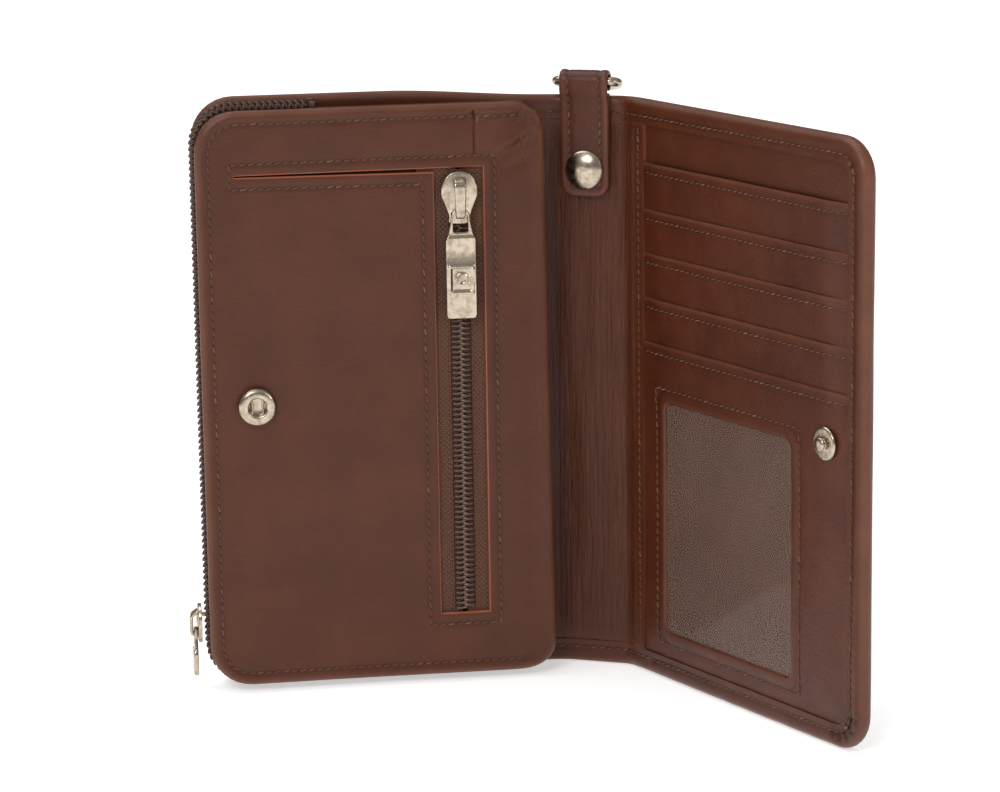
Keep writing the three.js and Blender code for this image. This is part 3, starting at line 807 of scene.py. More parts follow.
def pleats(points, centre, radius, quadrant, count):
    """Gathers that fan out round a corner where the leather is turned in."""
    d = points - np.array(centre)
    angle = np.arctan2(d[:, 1] * quadrant[1], d[:, 0] * quadrant[0])
    reach = np.linalg.norm(d, axis=1)
    near = ease(reach, radius * 0.25, radius * 0.55) * (1 - ease(reach, radius * 0.82, radius))
    wave = np.abs(np.sin(angle * count)) ** 0.6
    return near * wave * ease(angle, -0.1, 0.15) * (1 - ease(angle, 1.42, 1.67))


def edge_masks(pattern, seam_gap, seam_here=1.0):
    """The masks of dark stitch channels and rubbed edges, for both surfaces."""
    seam = bell(pattern.edge - seam_gap, 0.45) * seam_here
    edge = 0.75 * (1 - ease(pattern.edge, 0.5, 1.9))
    return {"seam": two_sided(seam, seam), "edge": two_sided(edge, edge)}


def shut_at_edge(pattern, front, back, middle):
    """Two surfaces that meet on the outline, each kept on its own side of the middle."""
    on_edge = pattern.edge < ON_EDGE
    return (np.where(on_edge, middle, np.minimum(front, middle)),
            np.where(on_edge, middle, np.maximum(back, middle)))


def back_cover():
    """The outer leather of the back cover, which runs on to the middle of the spine."""
    outline = rounded(0, 0, HALF_SPINE + 30, HEIGHT, [COVER_R, 0, 0, COVER_R])
    fine = (SPINE_X - 7, 0, HALF_SPINE, HEIGHT, 0.7, 3.2)
    cut = ((HALF_SPINE, -1), (HALF_SPINE, HEIGHT + 1))
    p = Pattern(outline, 2.4, LEATHER_ROWS, lines=[cut], trim=(-1, HALF_SPINE), grids=[fine])
    outer = OUTER_LEVEL + (SPINE_OUTER_LEVEL - OUTER_LEVEL) * ease(p.a, SPINE_X - 6, SPINE_X + 4)
    inner = INNER_LEVEL + (SPINE_INNER_LEVEL - INNER_LEVEL) * ease(p.a, SPINE_X - 6, SPINE_X + 3)
    middle = (outer + inner) / 2
    groove = bell(p.edge - SEAM, 0.6)
    puff = 0.18 * bell(p.edge - 2.2, 1.2)
    depth = spine_unevenness(p)
    inside_border = 0.32 * (p.edge > BORDER + STEP / 2)
    front = inner - 0.3 + inside_border + 0.16 * groove - puff + depth + roll(p.edge, 1.5, middle - inner + 0.3)
    back = outer - 0.2 * groove + puff + 0.14 * swell(p.a, p.b, 30, 22, 3) - roll(p.edge, 1.5, outer - middle)
    front, back = shut_at_edge(p, front, back, middle)
    masks = edge_masks(p, SEAM)
    masks["wrinkled"] = two_sided(spine_softness(p), 0 * p.a)
    obj = piece("back_cover_leather", p.solid(front, back), OUTER, "outer_leather", wrap, **masks)
    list(fold_ends(SPINE_X, SPINE_HALF_FOLD))
    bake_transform(obj)
    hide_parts("outer_back_leather", "back_stiffener")
    line = run(outline, SEAM, high=HALF_SPINE)
    sewn, tone = merged(stitches(line, lookup(p, front)), stitches(line, lookup(p, back), sign=1))
    seams = piece("back_cover_stitching", sewn, THREADS, "outer_leather", wrap, tone=tone)
    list(fold_ends(SPINE_X, SPINE_HALF_FOLD))
    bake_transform(seams)


def spine_softness(p):
    """1 on the soft lining between the two folds, 0 away from it."""
    return ease(p.a, SPINE_X - 4, SPINE_X + 2) * (1 - ease(p.a, FLAP_X, FLAP_X + 3)) * ease(p.edge, BORDER, 9)


def spine_unevenness(p):
    """Lengthwise creases in the soft lining of the spine, as added depth."""
    return spine_softness(p) * (0.24 * swell(p.a, p.b, 1.6, 30, 1) + 0.4 * swell(p.a, p.b, 4.5, 55, 2))


def flap_leather():
    """The rest of the spine and the flap, with pleated corners and the fold strip's edge."""
    outline = rounded(HALF_SPINE - 30, 0, FLAP_X + FLAP_W, HEIGHT, [0, FLAP_R, FLAP_R, 0])
    cut = ((HALF_SPINE, -1), (HALF_SPINE, HEIGHT + 1))
    strip_end = [((FLAP_X + STRIP[1] + d, BORDER), (FLAP_X + STRIP[1] + d, HEIGHT - BORDER))
                 for d in (0, STEP, 0.5)]
    fine = (HALF_SPINE, 0, FLAP_X + 6, HEIGHT, 0.7, 3.2)
    corner = (FLAP_X + FLAP_W - 13, 0, FLAP_X + FLAP_W, 13, 0.7, 0.7)
    p = Pattern(outline, 2.4, LEATHER_ROWS, lines=[cut, *strip_end], trim=(HALF_SPINE, 1e9),
                grids=[fine, corner])
    x = p.a - FLAP_X
    border = p.edge < BORDER + STEP / 2
    strip = x < STRIP[1] + STEP / 2
    spine_inner = SPINE_INNER_LEVEL - 0.3 * border
    flap_inner = np.where(border | strip, BORDER_LEVEL, SLOT_LEVEL)
    change = ease(x, -3.5, 2.0)
    inner = spine_inner * (1 - change) + flap_inner * change
    outer = np.full(len(x), float(SPINE_OUTER_LEVEL))
    middle = (outer + inner) / 2
    groove = bell(p.edge - SEAM, 0.6)
    puff = 0.2 * bell(p.edge - 2.2, 1.3)
    lower = pleats(p.points, (FLAP_X + FLAP_W - 10.5, 10.5), 10, (1, -1), 9)
    upper = pleats(p.points, (FLAP_X + FLAP_W - 10.5, HEIGHT - 10.5), 10, (1, 1), 7)
    nick = sum(crease(p.points, (FLAP_X + u, 0.6), (FLAP_X + u + 0.6, BORDER), 0.32) for u in (7.5, 10.5, 18))
    nick = nick + sum(crease(p.points, (FLAP_X + u, HEIGHT - 0.6), (FLAP_X + u - 0.5, HEIGHT - BORDER), 0.32)
                      for u in (2.5, -7, 31))
    front = (inner + 0.18 * groove - puff + spine_unevenness(p) + 0.5 * lower + 0.18 * upper + 0.28 * nick
             + 0.16 * swell(p.a, p.b, 5, 9, 6) * border + roll(p.edge, 2.0, middle - inner))
    back = outer - 0.2 * groove + puff + 0.16 * swell(p.a, p.b, 26, 24, 5) - roll(p.edge, 2.0, outer - middle)
    front, back = shut_at_edge(p, front, back, middle)
    masks = edge_masks(p, SEAM)
    raw = (bell(p.edge - BORDER - STEP, 0.1) * 0.1
           + 0.4 * bell(x - STRIP[1] - STEP, 0.08) * (p.edge > BORDER))
    masks["raw"] = two_sided(raw, raw * 0)
    # painted shade in the troughs of the lower corner's gathers, carried in the seam mask
    masks["seam"] = masks["seam"] + two_sided(0.8 * lower, raw * 0)
    masks["wrinkled"] = two_sided(spine_softness(p), raw * 0)
    obj = piece("flap_leather", p.solid(front, back), OUTER, "outer_leather", wrap, **masks)
    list(fold_ends(FLAP_X, FLAP_HALF_FOLD))
    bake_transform(obj)
    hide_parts("spine_outer_leather", "spine_lining_leather", "flap_outer_leather", "flap_stiffener",
                "flap_base_leather", "flap_fold_strip", "flap_edge_strip")
    line = run(outline, SEAM, low=HALF_SPINE)
    strip_line = [(FLAP_X + STRIP[1] - 1.3, BORDER + 1), (FLAP_X + STRIP[1] - 1.3, HEIGHT - BORDER - 1)]
    level = lookup(p, front)
    knots = [knot((FLAP_X + FLAP_W - 6, z), level) for z in (HEIGHT - 6.5, 6.5)]
    sewn, tone = merged(stitches(line, level), stitches(line, lookup(p, back), sign=1),
                        stitches(strip_line, level), *knots)
    seams = piece("flap_stitching", sewn, THREADS, "outer_leather", wrap, tone=tone)
    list(fold_ends(FLAP_X, FLAP_HALF_FOLD))
    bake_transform(seams)


def knot(at, level):
    """A few short threads over each other, where a seam is locked."""
    at, parts = np.array(at), []
    for k in range(5):
        a = 0.6 + 0.7 * k
        end = 0.75 * np.array((math.cos(a), math.sin(a)))
        parts.append(stitches([at - end, at + end], lambda f, k=k: level(f) - 0.08 * k, slant=0.1))
    return merged(*parts)


coil_low, coil_high = in_covers("coin_zip_coil_left")
COIN_X = coil_high.x + 0.7
WINDOW_HALF = 6.5
COIN_Z0, COIN_Z1 = coil_low.z - 1, coil_high.z + 1
SLIT_X0, SLIT_H = 10, 1.1
JOIN_X = 72.7                       # where the strip beside the coin zip is joined at the top
SLANT = 2.0                         # how far the front cover widens towards its foot
POCKET_SEAM = 3.0
HEM = 6.28                          # width of the front cover's turned-in edge, between the last two rows
HEM_DEPTH = 1.15
MID_LEATHER = 1.4                   # depth at which the front cover's two surfaces meet on its outline
FRONT_ROWS = (0, 0.06, 0.22, 0.5, 0.9, 1.4, 2.1, 2.8, FRONT_SEAM, 4.0, 5.0, 6.2, 6.35)
HOLE_ROWS = (0, 0.08, 0.2, 0.36, 0.7, 1.5, 2.5, POCKET_SEAM, 3.5, 4.3)


# the front cover's folds and dents: both ends, width, and depth into the leather
FRONT_CREASES = (((77, 140.5), (90.5, 147.5), 1.5, 0.65), ((79, 144), (90.5, 150.5), 1.4, -0.4),
                 ((81, 150), (88.5, 155), 1.2, 0.6), ((70.5, 150.5), (75.5, 155.8), 1.2, 0.6),
                 ((79, 137.5), (90, 143), 1.4, 0.45), ((1, 110), (5, 112), 0.7, 0.3),
                 ((1, 66), (4.5, 64), 0.6, 0.3), ((0.5, 40), (4.5, 42), 0.6, 0.25))


def front_cover():
    """The front cover's leather, with the coin zip's window and the slit beside it."""
    outline = rounded(0, FRONT_Z0, COVER_W, FRONT_Z1, [COVER_R, FRONT_R, FRONT_R, COVER_R])
    outline[:, 0] += SLANT * ease(outline[:, 0], 78, COVER_W) * (1 - outline[:, 1] / FRONT_Z1)
    left, right = COIN_X - WINDOW_HALF, COIN_X + WINDOW_HALF
    hole = np.array([(left, COIN_Z0), (right, COIN_Z0), (right, COIN_Z1), (SLIT_X0, COIN_Z1 - 0.3),
                     (SLIT_X0, COIN_Z1 - 0.75), (left, COIN_Z1 - SLIT_H)])
    corner = (76, 136, COVER_W, FRONT_Z1, 0.8, 0.8)
    joined_at = [((JOIN_X + d, 142.6), (JOIN_X + d, 154.2)) for d in (-0.6, -0.25, 0, 0.25, 0.6)]
    p = Pattern(outline, 2.2, FRONT_ROWS, holes=[hole], hole_rows=HOLE_ROWS, lines=joined_at, grids=[corner])
    seam_here = 1 - ease(p.a, 83, 87)
    groove = bell(p.edge - FRONT_SEAM, 0.55) * seam_here
    pocket = bell(p.hole[0] - POCKET_SEAM, 0.5) * ease(p.a, SLIT_X0 - 1.8, SLIT_X0 - 0.6)
    puff = 0.2 * bell(p.edge - 1.9, 1.0)
    join = bell(p.a - JOIN_X, 0.3) * ease(p.b, 142.4, 143) * (1 - ease(p.b, 153.6, 154.4))
    folds = (depth * crease(p.points, start, end, width) for start, end, width, depth in FRONT_CREASES)
    marks = sum(folds, 0.3 * join)
    front = (0.25 + 0.2 * groove + 0.14 * pocket - puff + marks + 0.28 * swell(p.a, p.b, 34, 26, 11)
             + 0.1 * swell(p.a, p.b, 9, 5, 12) + roll(p.edge, 1.5, HEM_DEPTH) + roll(p.hole[0], 0.36, 0.3)
             + 0.3 * bell(p.a - 86.5, 3.0) - 0.12 * bell(p.hole[0] - 1.4, 0.8))
    back = MID_LEATHER + HEM_DEPTH * (p.edge < HEM) - roll(p.edge, 1.5, HEM_DEPTH) - 0.1 * groove
    front = np.where(p.edge < ON_EDGE, MID_LEATHER, np.minimum(front, back - 0.02))
    back = np.where(p.edge < ON_EDGE, MID_LEATHER, back)
    masks = edge_masks(p, FRONT_SEAM, seam_here)
    masks["seam"] = masks["seam"] + two_sided(pocket + join, 0 * p.a)
    raw = 1 - ease(p.hole[0], 0.1, 0.3)
    masks["raw"] = two_sided(raw, raw)
    obj = piece("front_cover_leather", p.solid(front, back), OUTER, "outer_leather", COVERS, **masks)
    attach(obj, "front_cover")
    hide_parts("front_leather_panel", "front_side_hem")
    level = lookup(p, front)
    ring_line = np.array(inset(hole, -POCKET_SEAM))
    ring_line[:, 0] = np.maximum(ring_line[:, 0], SLIT_X0 - 1.2)
    rim = run(outline, FRONT_SEAM, high=84)
    sewn, tone = merged(stitches(rim, level), stitches(ring_line, level, closed=True))
    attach(piece("front_cover_stitching", sewn, THREADS, "outer_leather", COVERS, tone=tone), "front_cover")


def lining(name, node_name, body, look, slot):
    """A flat layer inside the covers with a soft rolled edge."""
    low, high = in_covers(node_name)
    radius = 9 if high.z - low.z > 148 else 2
    outline = rounded(low.x, low.z, high.x, high.z, [radius, 2, 2, radius])
    p = Pattern(outline, 4.0, (0, 0.1, 0.3, 0.8))
    half = (high.y - low.y) / 2
    seed = len(name)                # so that no two layers are uneven alike
    wave = 0.1 * swell(p.a, p.b, 30, 30, seed)
    wave = wave * ease(p.edge, 0, 6)
    front = np.where(p.edge < ON_EDGE, low.y + half, low.y + wave + roll(p.edge, 0.3, half))
    back = np.where(p.edge < ON_EDGE, low.y + half, high.y + wave - roll(p.edge, 0.3, half))
    obj = piece(name, p.solid(front, back), look, slot, COVERS)
    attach(obj, body)
    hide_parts(node_name)


GUSSET_FOLD_Y = 8.6                 # how deep in the case both gussets fold


def gusset(name, node_name, line, low, high, place):
    """A wall folded inwards like a bellows, between the front and the back cover."""
    track = Track(bent(line, 1.4))
    length = track.s[-1]
    p = Pattern(rounded(0, low, length, high, 0.6), 1.6, (0, 0.12, 0.4),
                grids=[(0, low, length, high, 0.8, 2.4)])
    wave = 0.16 * swell(p.a, p.b, 4, 14, 21) + 0.08 * swell(p.a, p.b, 2, 4, 22)
    front, back = -0.27 + wave + roll(p.edge, 0.12, 0.2), 0.27 + wave - roll(p.edge, 0.12, 0.2)

    def along(v):
        point, normal = track.at(v[:, 0])
        return place(point + normal * v[:, 1:2], v[:, 2])

    obj = piece(name, p.solid(front, back), INNER, "inner_leather", along)
    near = along(np.array([(0.0, 0.0, (low + high) / 2)]))[0] * MM
    far = along(np.array([(length, 0.0, (low + high) / 2)]))[0] * MM
    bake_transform(obj)
    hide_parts(node_name)


def covers():
    back_cover()
    front_cover()
    flap_leather()
    for side in ("front", "back"):
        lining(f"{side}_cover_lining", f"{side}_lining", f"{side}_cover", LINING, "lining")
    for side in ("front", "back"):
        lining(f"coin_pocket_{side}_cloth", f"coin_pocket_{side}_layer", "front_cover", POCKET, "pocket_cloth")
    low, high = in_covers("side_gusset")
    side_line = [(low.x + 3.9, low.y - 0.6), (low.x + 0.5, GUSSET_FOLD_Y), (high.x + 0.2, high.y + 0.5)]
    gusset("side_gusset_leather", "side_gusset", side_line, low.z, high.z,
           lambda xy, z: np.c_[xy + np.array(COVERS_AT)[:2], z])
    low, high = in_covers("top_gusset")
    top_line = [(low.y, high.z), (GUSSET_FOLD_Y, low.z + 0.3), (high.y, high.z)]
    gusset("top_gusset_leather", "top_gusset", top_line, low.x, high.x,
           lambda yz, x: np.c_[x + COVERS_AT.x, yz[:, 0] + COVERS_AT.y, yz[:, 1]])


# ---------------------------------------------------------------- zips

COVER_PITCH, COIN_PITCH = 1.7, 1.4  # from one turn of a coil to the next
TURN_PARTS = 14                     # points in one turn
ZIP_Z0, ZIP_Z1, ZIP_R = 3.0, 156.0, 10.0        # lower and upper run of the cover zip, and its corners
COIL_START = 0.4


def zip_path():
    """The cover zip's line, from the top gusset round the covers' free edge to the foot."""
    top_end, bottom_end = in_covers("top_gusset")[0].x - 3, in_covers("front_zip_coil")[1].x
    line = [(top_end, ZIP_Z1)]
    for centre_z, start in ((ZIP_Z1 - ZIP_R, math.pi / 2), (ZIP_Z0 + ZIP_R, math.pi)):
        line += [(ZIP_R + ZIP_R * math.cos(start + math.pi / 2 * k / 12),
                  centre_z + ZIP_R * math.sin(start + math.pi / 2 * k / 12)) for k in range(13)]
    line.append((bottom_end, ZIP_Z0))
    return Track(divided_open(line, 1.0))


def cover_zip():
    """The zip between the two covers: a coil, a tape and an end stop on each."""
    path = zip_path()
    for side, body, head in (("front", "front_cover", 1), ("back", "back_cover", -1)):
        low, high = in_covers(f"{side}_zip_coil")
        y = (low.y + high.y) / 2
        count = int(path.s[-1] / COVER_PITCH) * TURN_PARTS - TURN_PARTS
        s = np.arange(count) / TURN_PARTS * COVER_PITCH + COIL_START
        a = 2 * math.pi * (s - COIL_START) / COVER_PITCH
        point, normal = path.at(s + 0.25 * COVER_PITCH * np.sin(a))
        flat = point - normal * (0.1 + 0.5 * np.sin(a))[:, None]
        wire = np.c_[flat[:, 0], y + head * 0.42 * np.cos(a), flat[:, 1]]
        radius = 0.38 * (1 + 0.3 * np.cos(a))
        teeth = piece(f"cover_zip_teeth_{side}", tube(wire, radius, 7), COIL, "zip_coil", COVERS, sharp=60)
        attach(teeth, body)
        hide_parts(f"{side}_zip_coil")

        low, high = in_covers(f"{side}_zip_tape")
        p = Pattern(rounded(0, low.y, path.s[-1], high.y), 1.8, (0, 0.12))

        def along(v):
            point, normal = path.at(v[:, 0])
            flat = point + normal * (0.8 - v[:, 1:2])
            return np.c_[flat[:, 0], v[:, 2], flat[:, 1]] + np.array(COVERS_AT)

        wave = 0.05 * swell(p.a, p.b, 6, 3, 31)
        shape = p.solid(wave - 0.2, wave + 0.2)
        tape = piece(f"cover_zip_tape_{side}", shape, TAPE, "zip_tape", along)
        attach(tape, body)
        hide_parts(f"{side}_zip_tape")

        low, high = in_covers(f"{side}_zip_stop")
        stop = rounded(low.x, low.z, high.x, high.z, 0.5, 4)
        p = Pattern(stop, 0.5, (0, 0.08, 0.25))
        half = (high.y - low.y) / 2
        mid = (low.y + high.y) / 2
        bulge = half - roll(p.edge, 0.35, half)
        clamp = piece(f"zip_stop_{side}", p.solid(mid - bulge, mid + bulge), COIL, "zip_coil", COVERS)
        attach(clamp, body)
        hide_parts(f"{side}_zip_stop")


def coin_zip():
    """The coin pocket's zip: a coil and a tape on each side of its line."""
    for side, sign in (("left", -1), ("right", 1)):
        low, high = in_covers(f"coin_zip_coil_{side}")
        turns = int((high.z - low.z) / COIN_PITCH)
        a = 2 * math.pi * np.arange(turns * TURN_PARTS + 1) / TURN_PARTS
        z = low.z + a / (2 * math.pi) * COIN_PITCH + (0.5 * COIN_PITCH if sign > 0 else 0)
        x = COIN_X + sign * (1.1 - 1.3 * np.cos(a))
        y = 0.75 - 0.42 * np.sin(a)
        z = z + 0.3 * COIN_PITCH * np.cos(a)
        shape = tube(np.c_[x, y, z][z < high.z], 0.37, 8)
        # painted highlight: the tone mask lightens the teeth near the zip's middle line
        middle = bell(shape[0][:, 0] - COIN_X, 0.6)
        teeth = piece(f"coin_zip_teeth_{side}", shape, COIL, "zip_coil", COVERS, sharp=60, tone=middle)
        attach(teeth, "front_cover")
        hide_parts(f"coin_zip_coil_{side}")

        low, high = in_covers(f"coin_zip_tape_{side}")
        p = Pattern(rounded(low.x, low.z, high.x, high.z), 1.6, (0, 0.12))
        rib = 0.18 * bell(np.abs(p.a - COIN_X) - 3.1, 0.35)
        front = low.y - 0.1 - rib + 0.06 * swell(p.a, p.b, 3, 8, 33)
        shape = p.solid(front, np.full(len(p.a), high.y))
        tape = piece(f"coin_zip_tape_{side}_cloth", shape, TAPE, "zip_tape", COVERS)
        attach(tape, "front_cover")
        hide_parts(f"coin_zip_tape_{side}")
        x = COIN_X + sign * 2.9
        line = [(x, low.z + 3), (x, high.z - 4)]
        sewn, tone = stitches(line, lambda f: np.full(len(f), 1.42), pitch=1.4)
        seam = piece(f"coin_zip_stitching_{side}", sewn, THREADS, "zip_tape", COVERS, tone=tone * 0.6)
        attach(seam, "front_cover")


# ---------------------------------------------------------------- sliders, pullers, snaps


def box_in(place, node_name):
    """Lowest and highest corner of a CAD node in a frame of its own, and the mean of its points."""
    back = np.array((place.inverted()))
    points = np.array([(*(v.co / MM), 1) for v in frame["nodes"][node_name].data.vertices]) @ back.T
    return points[:, :3].min(0), points[:, :3].max(0), points[:, :3].mean(0)


def smooth_loop(points):
    """A closed smooth line through points."""
    p, parts = np.array(points, float), 6
    line = []
    for i in range(len(p)):
        a, b, c, d = (p[(i + k - 1) % len(p)] for k in range(4))
        for k in range(parts):
            t = k / parts
            line.append(0.5 * (2 * b + (c - a) * t + (2 * a - 5 * b + 4 * c - d) * t**2
                               + (3 * b - a - 3 * c + d) * t**3))
    return np.array(line)


def mirrored(points):
    """A line on the right side, from bottom to top, with its mirror image."""
    return [*points, *[(-x, z) for x, z in reversed(points)]]


METAL_ROWS = (0, 0.04, 0.12, 0.25, 0.45, 0.8)
EYE_DROP = 0.5                      # a puller's pivot, from its top
FIELD_Z0, FIELD_Z1 = -21.4, -13.8   # foot and top of the tall puller's sunk field, from its pivot
RIDGE_Z, RIDGE_R = -17.6, 1.35      # round ridge in the field


def slider(name, node_name, body, place, width, length, outer, inner):
    """A zip slider: crowned outer plate, flat inner plate, a post between them and a puller's bridge."""
    half = width / 2
    shape = mirrored([(0.52 * half, 0.0), (0.6 * half, 0.16 * length), (0.8 * half, 0.36 * length),
                      (half, 0.56 * length), (0.95 * half, 0.76 * length), (0.66 * half, 0.93 * length),
                      (0.25 * half, length)])
    p = Pattern(smooth_loop(shape), 0.5, METAL_ROWS)
    crown = 0.5 * (1 - np.clip(p.edge / (0.9 * half), 0, 1) ** 1.4)
    top = p.solid(outer - 1.5 + crown + roll(p.edge, 0.35, 0.35), np.full(len(p.a), float(outer)))
    under_shape = mirrored([(0.62 * half, 0.3), (0.8 * half, 0.4 * length), (0.8 * half, 0.75 * length),
                            (0.5 * half, length - 0.2)])
    q = Pattern(smooth_loop(under_shape), 0.7, METAL_ROWS[:4])
    under = q.solid(inner + roll(q.edge, 0.25, 0.2), inner + 0.7 - roll(q.edge, 0.25, 0.2))
    post = tube([(0, outer - 0.3, 0.72 * length), (0, inner + 0.3, 0.72 * length)], 0.6, 10)
    front = outer - 1.2
    line = bent([(front + 0.5, 1.5), (front - 1.55, 1.9), (front - 1.55, length - 3.0),
                 (front + 0.5, length - 1.6)], 1.1)
    track = Track(line)
    total = track.s[-1]
    bridge_shape = rounded(-1.35, 0, 1.35, total, 0.5, 3)
    bridge_shape[:, 0] *= 0.85 + 0.4 * bridge_shape[:, 1] / total
    r = Pattern(bridge_shape, 0.5, METAL_ROWS)
    strip = r.solid(-0.45 + roll(r.edge, 0.35, 0.4), 0.45 - roll(r.edge, 0.35, 0.4))
    point, normal = track.at(strip[0][:, 2])
    flat = point + normal * strip[0][:, 1:2]
    bridge = np.c_[strip[0][:, 0], flat], strip[1]
    obj = piece(name, joined(top, under, post, bridge), NICKEL, "nickel", place)
    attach(obj, body)
    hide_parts(node_name)


def puller(name, node_name, body, place, width, length, tall):
    """A cast puller: an open eye, a thick body and, on the tall one, a sunk square field in a raised frame."""
    half = width / 2
    shoulder = 6.3 if tall else 5.2
    sides = mirrored([(half, -length + 0.9), (half, -shoulder - 0.8), (0.84 * half, -shoulder + 0.6),
                      (0.64 * half, -2.0), (0.6 * half, -0.2), (0.4 * half, 0.6)])
    foot = [(-half + 0.25, -length + 0.25), (-half + 0.9, -length), (half - 0.9, -length),
            (half - 0.25, -length + 0.25)]
    outline = np.array([*sides, *foot])
    eye_half = 0.42 * half + 0.3
    eye = rounded(-eye_half, -shoulder + 1.2, eye_half, -0.65, 0.45, 3)
    p = Pattern(outline, 0.3, METAL_ROWS, holes=[eye], hole_rows=(0, 0.05, 0.15, 0.3))
    body_part = ease(-p.b, shoulder - 0.25, shoulder + 0.25)
    front = -0.5 - 0.42 * body_part
    if tall:
        field = rounded(-half + 0.65, FIELD_Z0, half - 0.65, FIELD_Z1, 0.2, 2)
        near, within = gap_to(p.points, field), inside(p.points, field)
        front = front + 0.28 * np.sin(math.pi * np.clip((-p.b - shoulder) / 7.4, 0, 1)) * body_part
        front = front - 0.3 * bell(near - 0.35, 0.3) * within + 0.22 * within * ease(near, 0.7, 0.95)
        front = front - 0.3 * bell(np.hypot(p.a, p.b - RIDGE_Z) - RIDGE_R, 0.35)
    back = 0.42 - roll(p.edge, 0.25, 0.2)
    front = front + roll(p.edge, 0.4, 0.35) + roll(p.hole[0], 0.3, 0.25)
    obj = piece(name, p.solid(front, back), NICKEL, "nickel", place, sharp=50)
    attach(obj, body)
    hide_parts(node_name)


def sliders():
    """The coin zip's slider faces the front, and the cover zip's slider is turned to the side."""
    low, high, _ = box_in(COVERS, "coin_slider_body")
    wide, _, high_up = high - low
    at = COVERS @ Matrix.Translation((COIN_X, 0, low[2]))
    slider("coin_zip_slider", "coin_slider_body", "coin_slider", at, wide, high_up, outer=-0.3, inner=2.3)
    low, high, _ = box_in(COVERS, "coin_puller")
    wide, _, high_up = high - low
    pivot = COVERS @ Matrix.Translation((COIN_X, -1.95, high[2] - EYE_DROP))
    puller("coin_zip_puller", "coin_puller", "coin_puller", pivot, wide, high_up - EYE_DROP, tall=True)

    low, high, _ = box_in(COVERS, "cover_zip_slider_body")
    _, wide, high_up = high - low
    side = COVERS @ Matrix.Translation((0, (low[1] + high[1]) / 2, low[2]))
    side = side @ Matrix.Rotation(-math.pi / 2, 4, "Z")
    slider("cover_zip_slider", "cover_zip_slider_body", "cover_slider", side, wide, high_up,
           outer=-1.8, inner=1.3)
    low, high, _ = box_in(side, "cover_zip_puller")
    wide, _, high_up = high - low
    pivot = side @ Matrix.Translation((0, -3.45, high[2] - EYE_DROP))
    puller("cover_zip_pull", "cover_zip_puller", "cover_puller", pivot, wide, high_up - EYE_DROP, tall=False)


def snap_part(name, node_name, body, place, profile, extra=None, sides=48):
    """A turned metal part, at the middle of its CAD node, with any extra wires."""
    _, _, middle = box_in(place, node_name)
    at = (middle[0], 0, middle[2])
    shape = turned(profile, at, sides)
    if extra:
        shape = joined(shape, *[(v + np.array(at), f) for v, f in extra])
    obj = piece(name, shape, NICKEL, "nickel", place, sharp=50)
    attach(obj, body)
    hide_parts(node_name)


def snaps():
    """The closing snap: its socket and post on the front cover, its stud and cap on the flap."""
    rim = spun([(2.35, -1.95), (2.75, -2.28), (3.5, -2.3), (4.3, -2.12), (4.85, -1.7), (5.05, -1.1),
                (5.0, -0.5)], 4)
    socket = [(0, -0.55), (1.7, -0.55), (2.2, -0.7), (2.25, -1.5), *rim, (4.8, 0.2), (0, 0.2)]
    springs = [tube([(x, -1.35, -2.2), (x * 0.86, -1.4, 0), (x, -1.35, 2.2)], 0.26, 8) for x in (-1.5, 1.5)]
    snap_part("closing_snap_socket", "front_snap_socket", "front_cover", COVERS, socket, springs)
    snap_part("closing_snap_post", "front_snap_post", "front_cover", COVERS,
              [(0, 0.1), (1.4, 0.1), (1.4, 1.7), (3.6, 1.7), (4.0, 1.85), (3.7, 2.05), (0, 2.1)])
    ball = spun([(0, -5.9), (1.2, -5.75), (1.85, -5.3), (1.5, -4.85), (1.45, -4.4), (2.4, -4.2), (3.9, -4.1),
                 (4.3, -3.7)], 4)
    snap_part("closing_snap_stud", "flap_snap_stud", "flap", FLAP, [*ball, (4.1, -3.1), (0, -3.1)])
    dome = spun([(4.75, 1.3), (5.0, 1.7), (4.6, 2.25), (3.2, 2.8), (1.5, 3.05), (0, 3.1)], 5)
    snap_part("closing_snap_cap", "flap_snap_cap", "flap", FLAP, [(0, 1.2), (4.5, 1.2), *dome])


# ---------------------------------------------------------------- tab and ring

BAR_Y, BAR_Z = -2.5, joint_at["ring_swing"].z
TAB_T = 1.1
TAB_LOOP_R = 2.35                   # middle of the strap, where it goes round the ring's bar
TAB_HANG_Y = -3.2                   # middle of the strap, where it hangs down
TAB_SEAM = 2.3
TAB_ROWS = (0, 0.07, 0.22, 0.5, 0.9, 1.6, TAB_SEAM, 2.9)


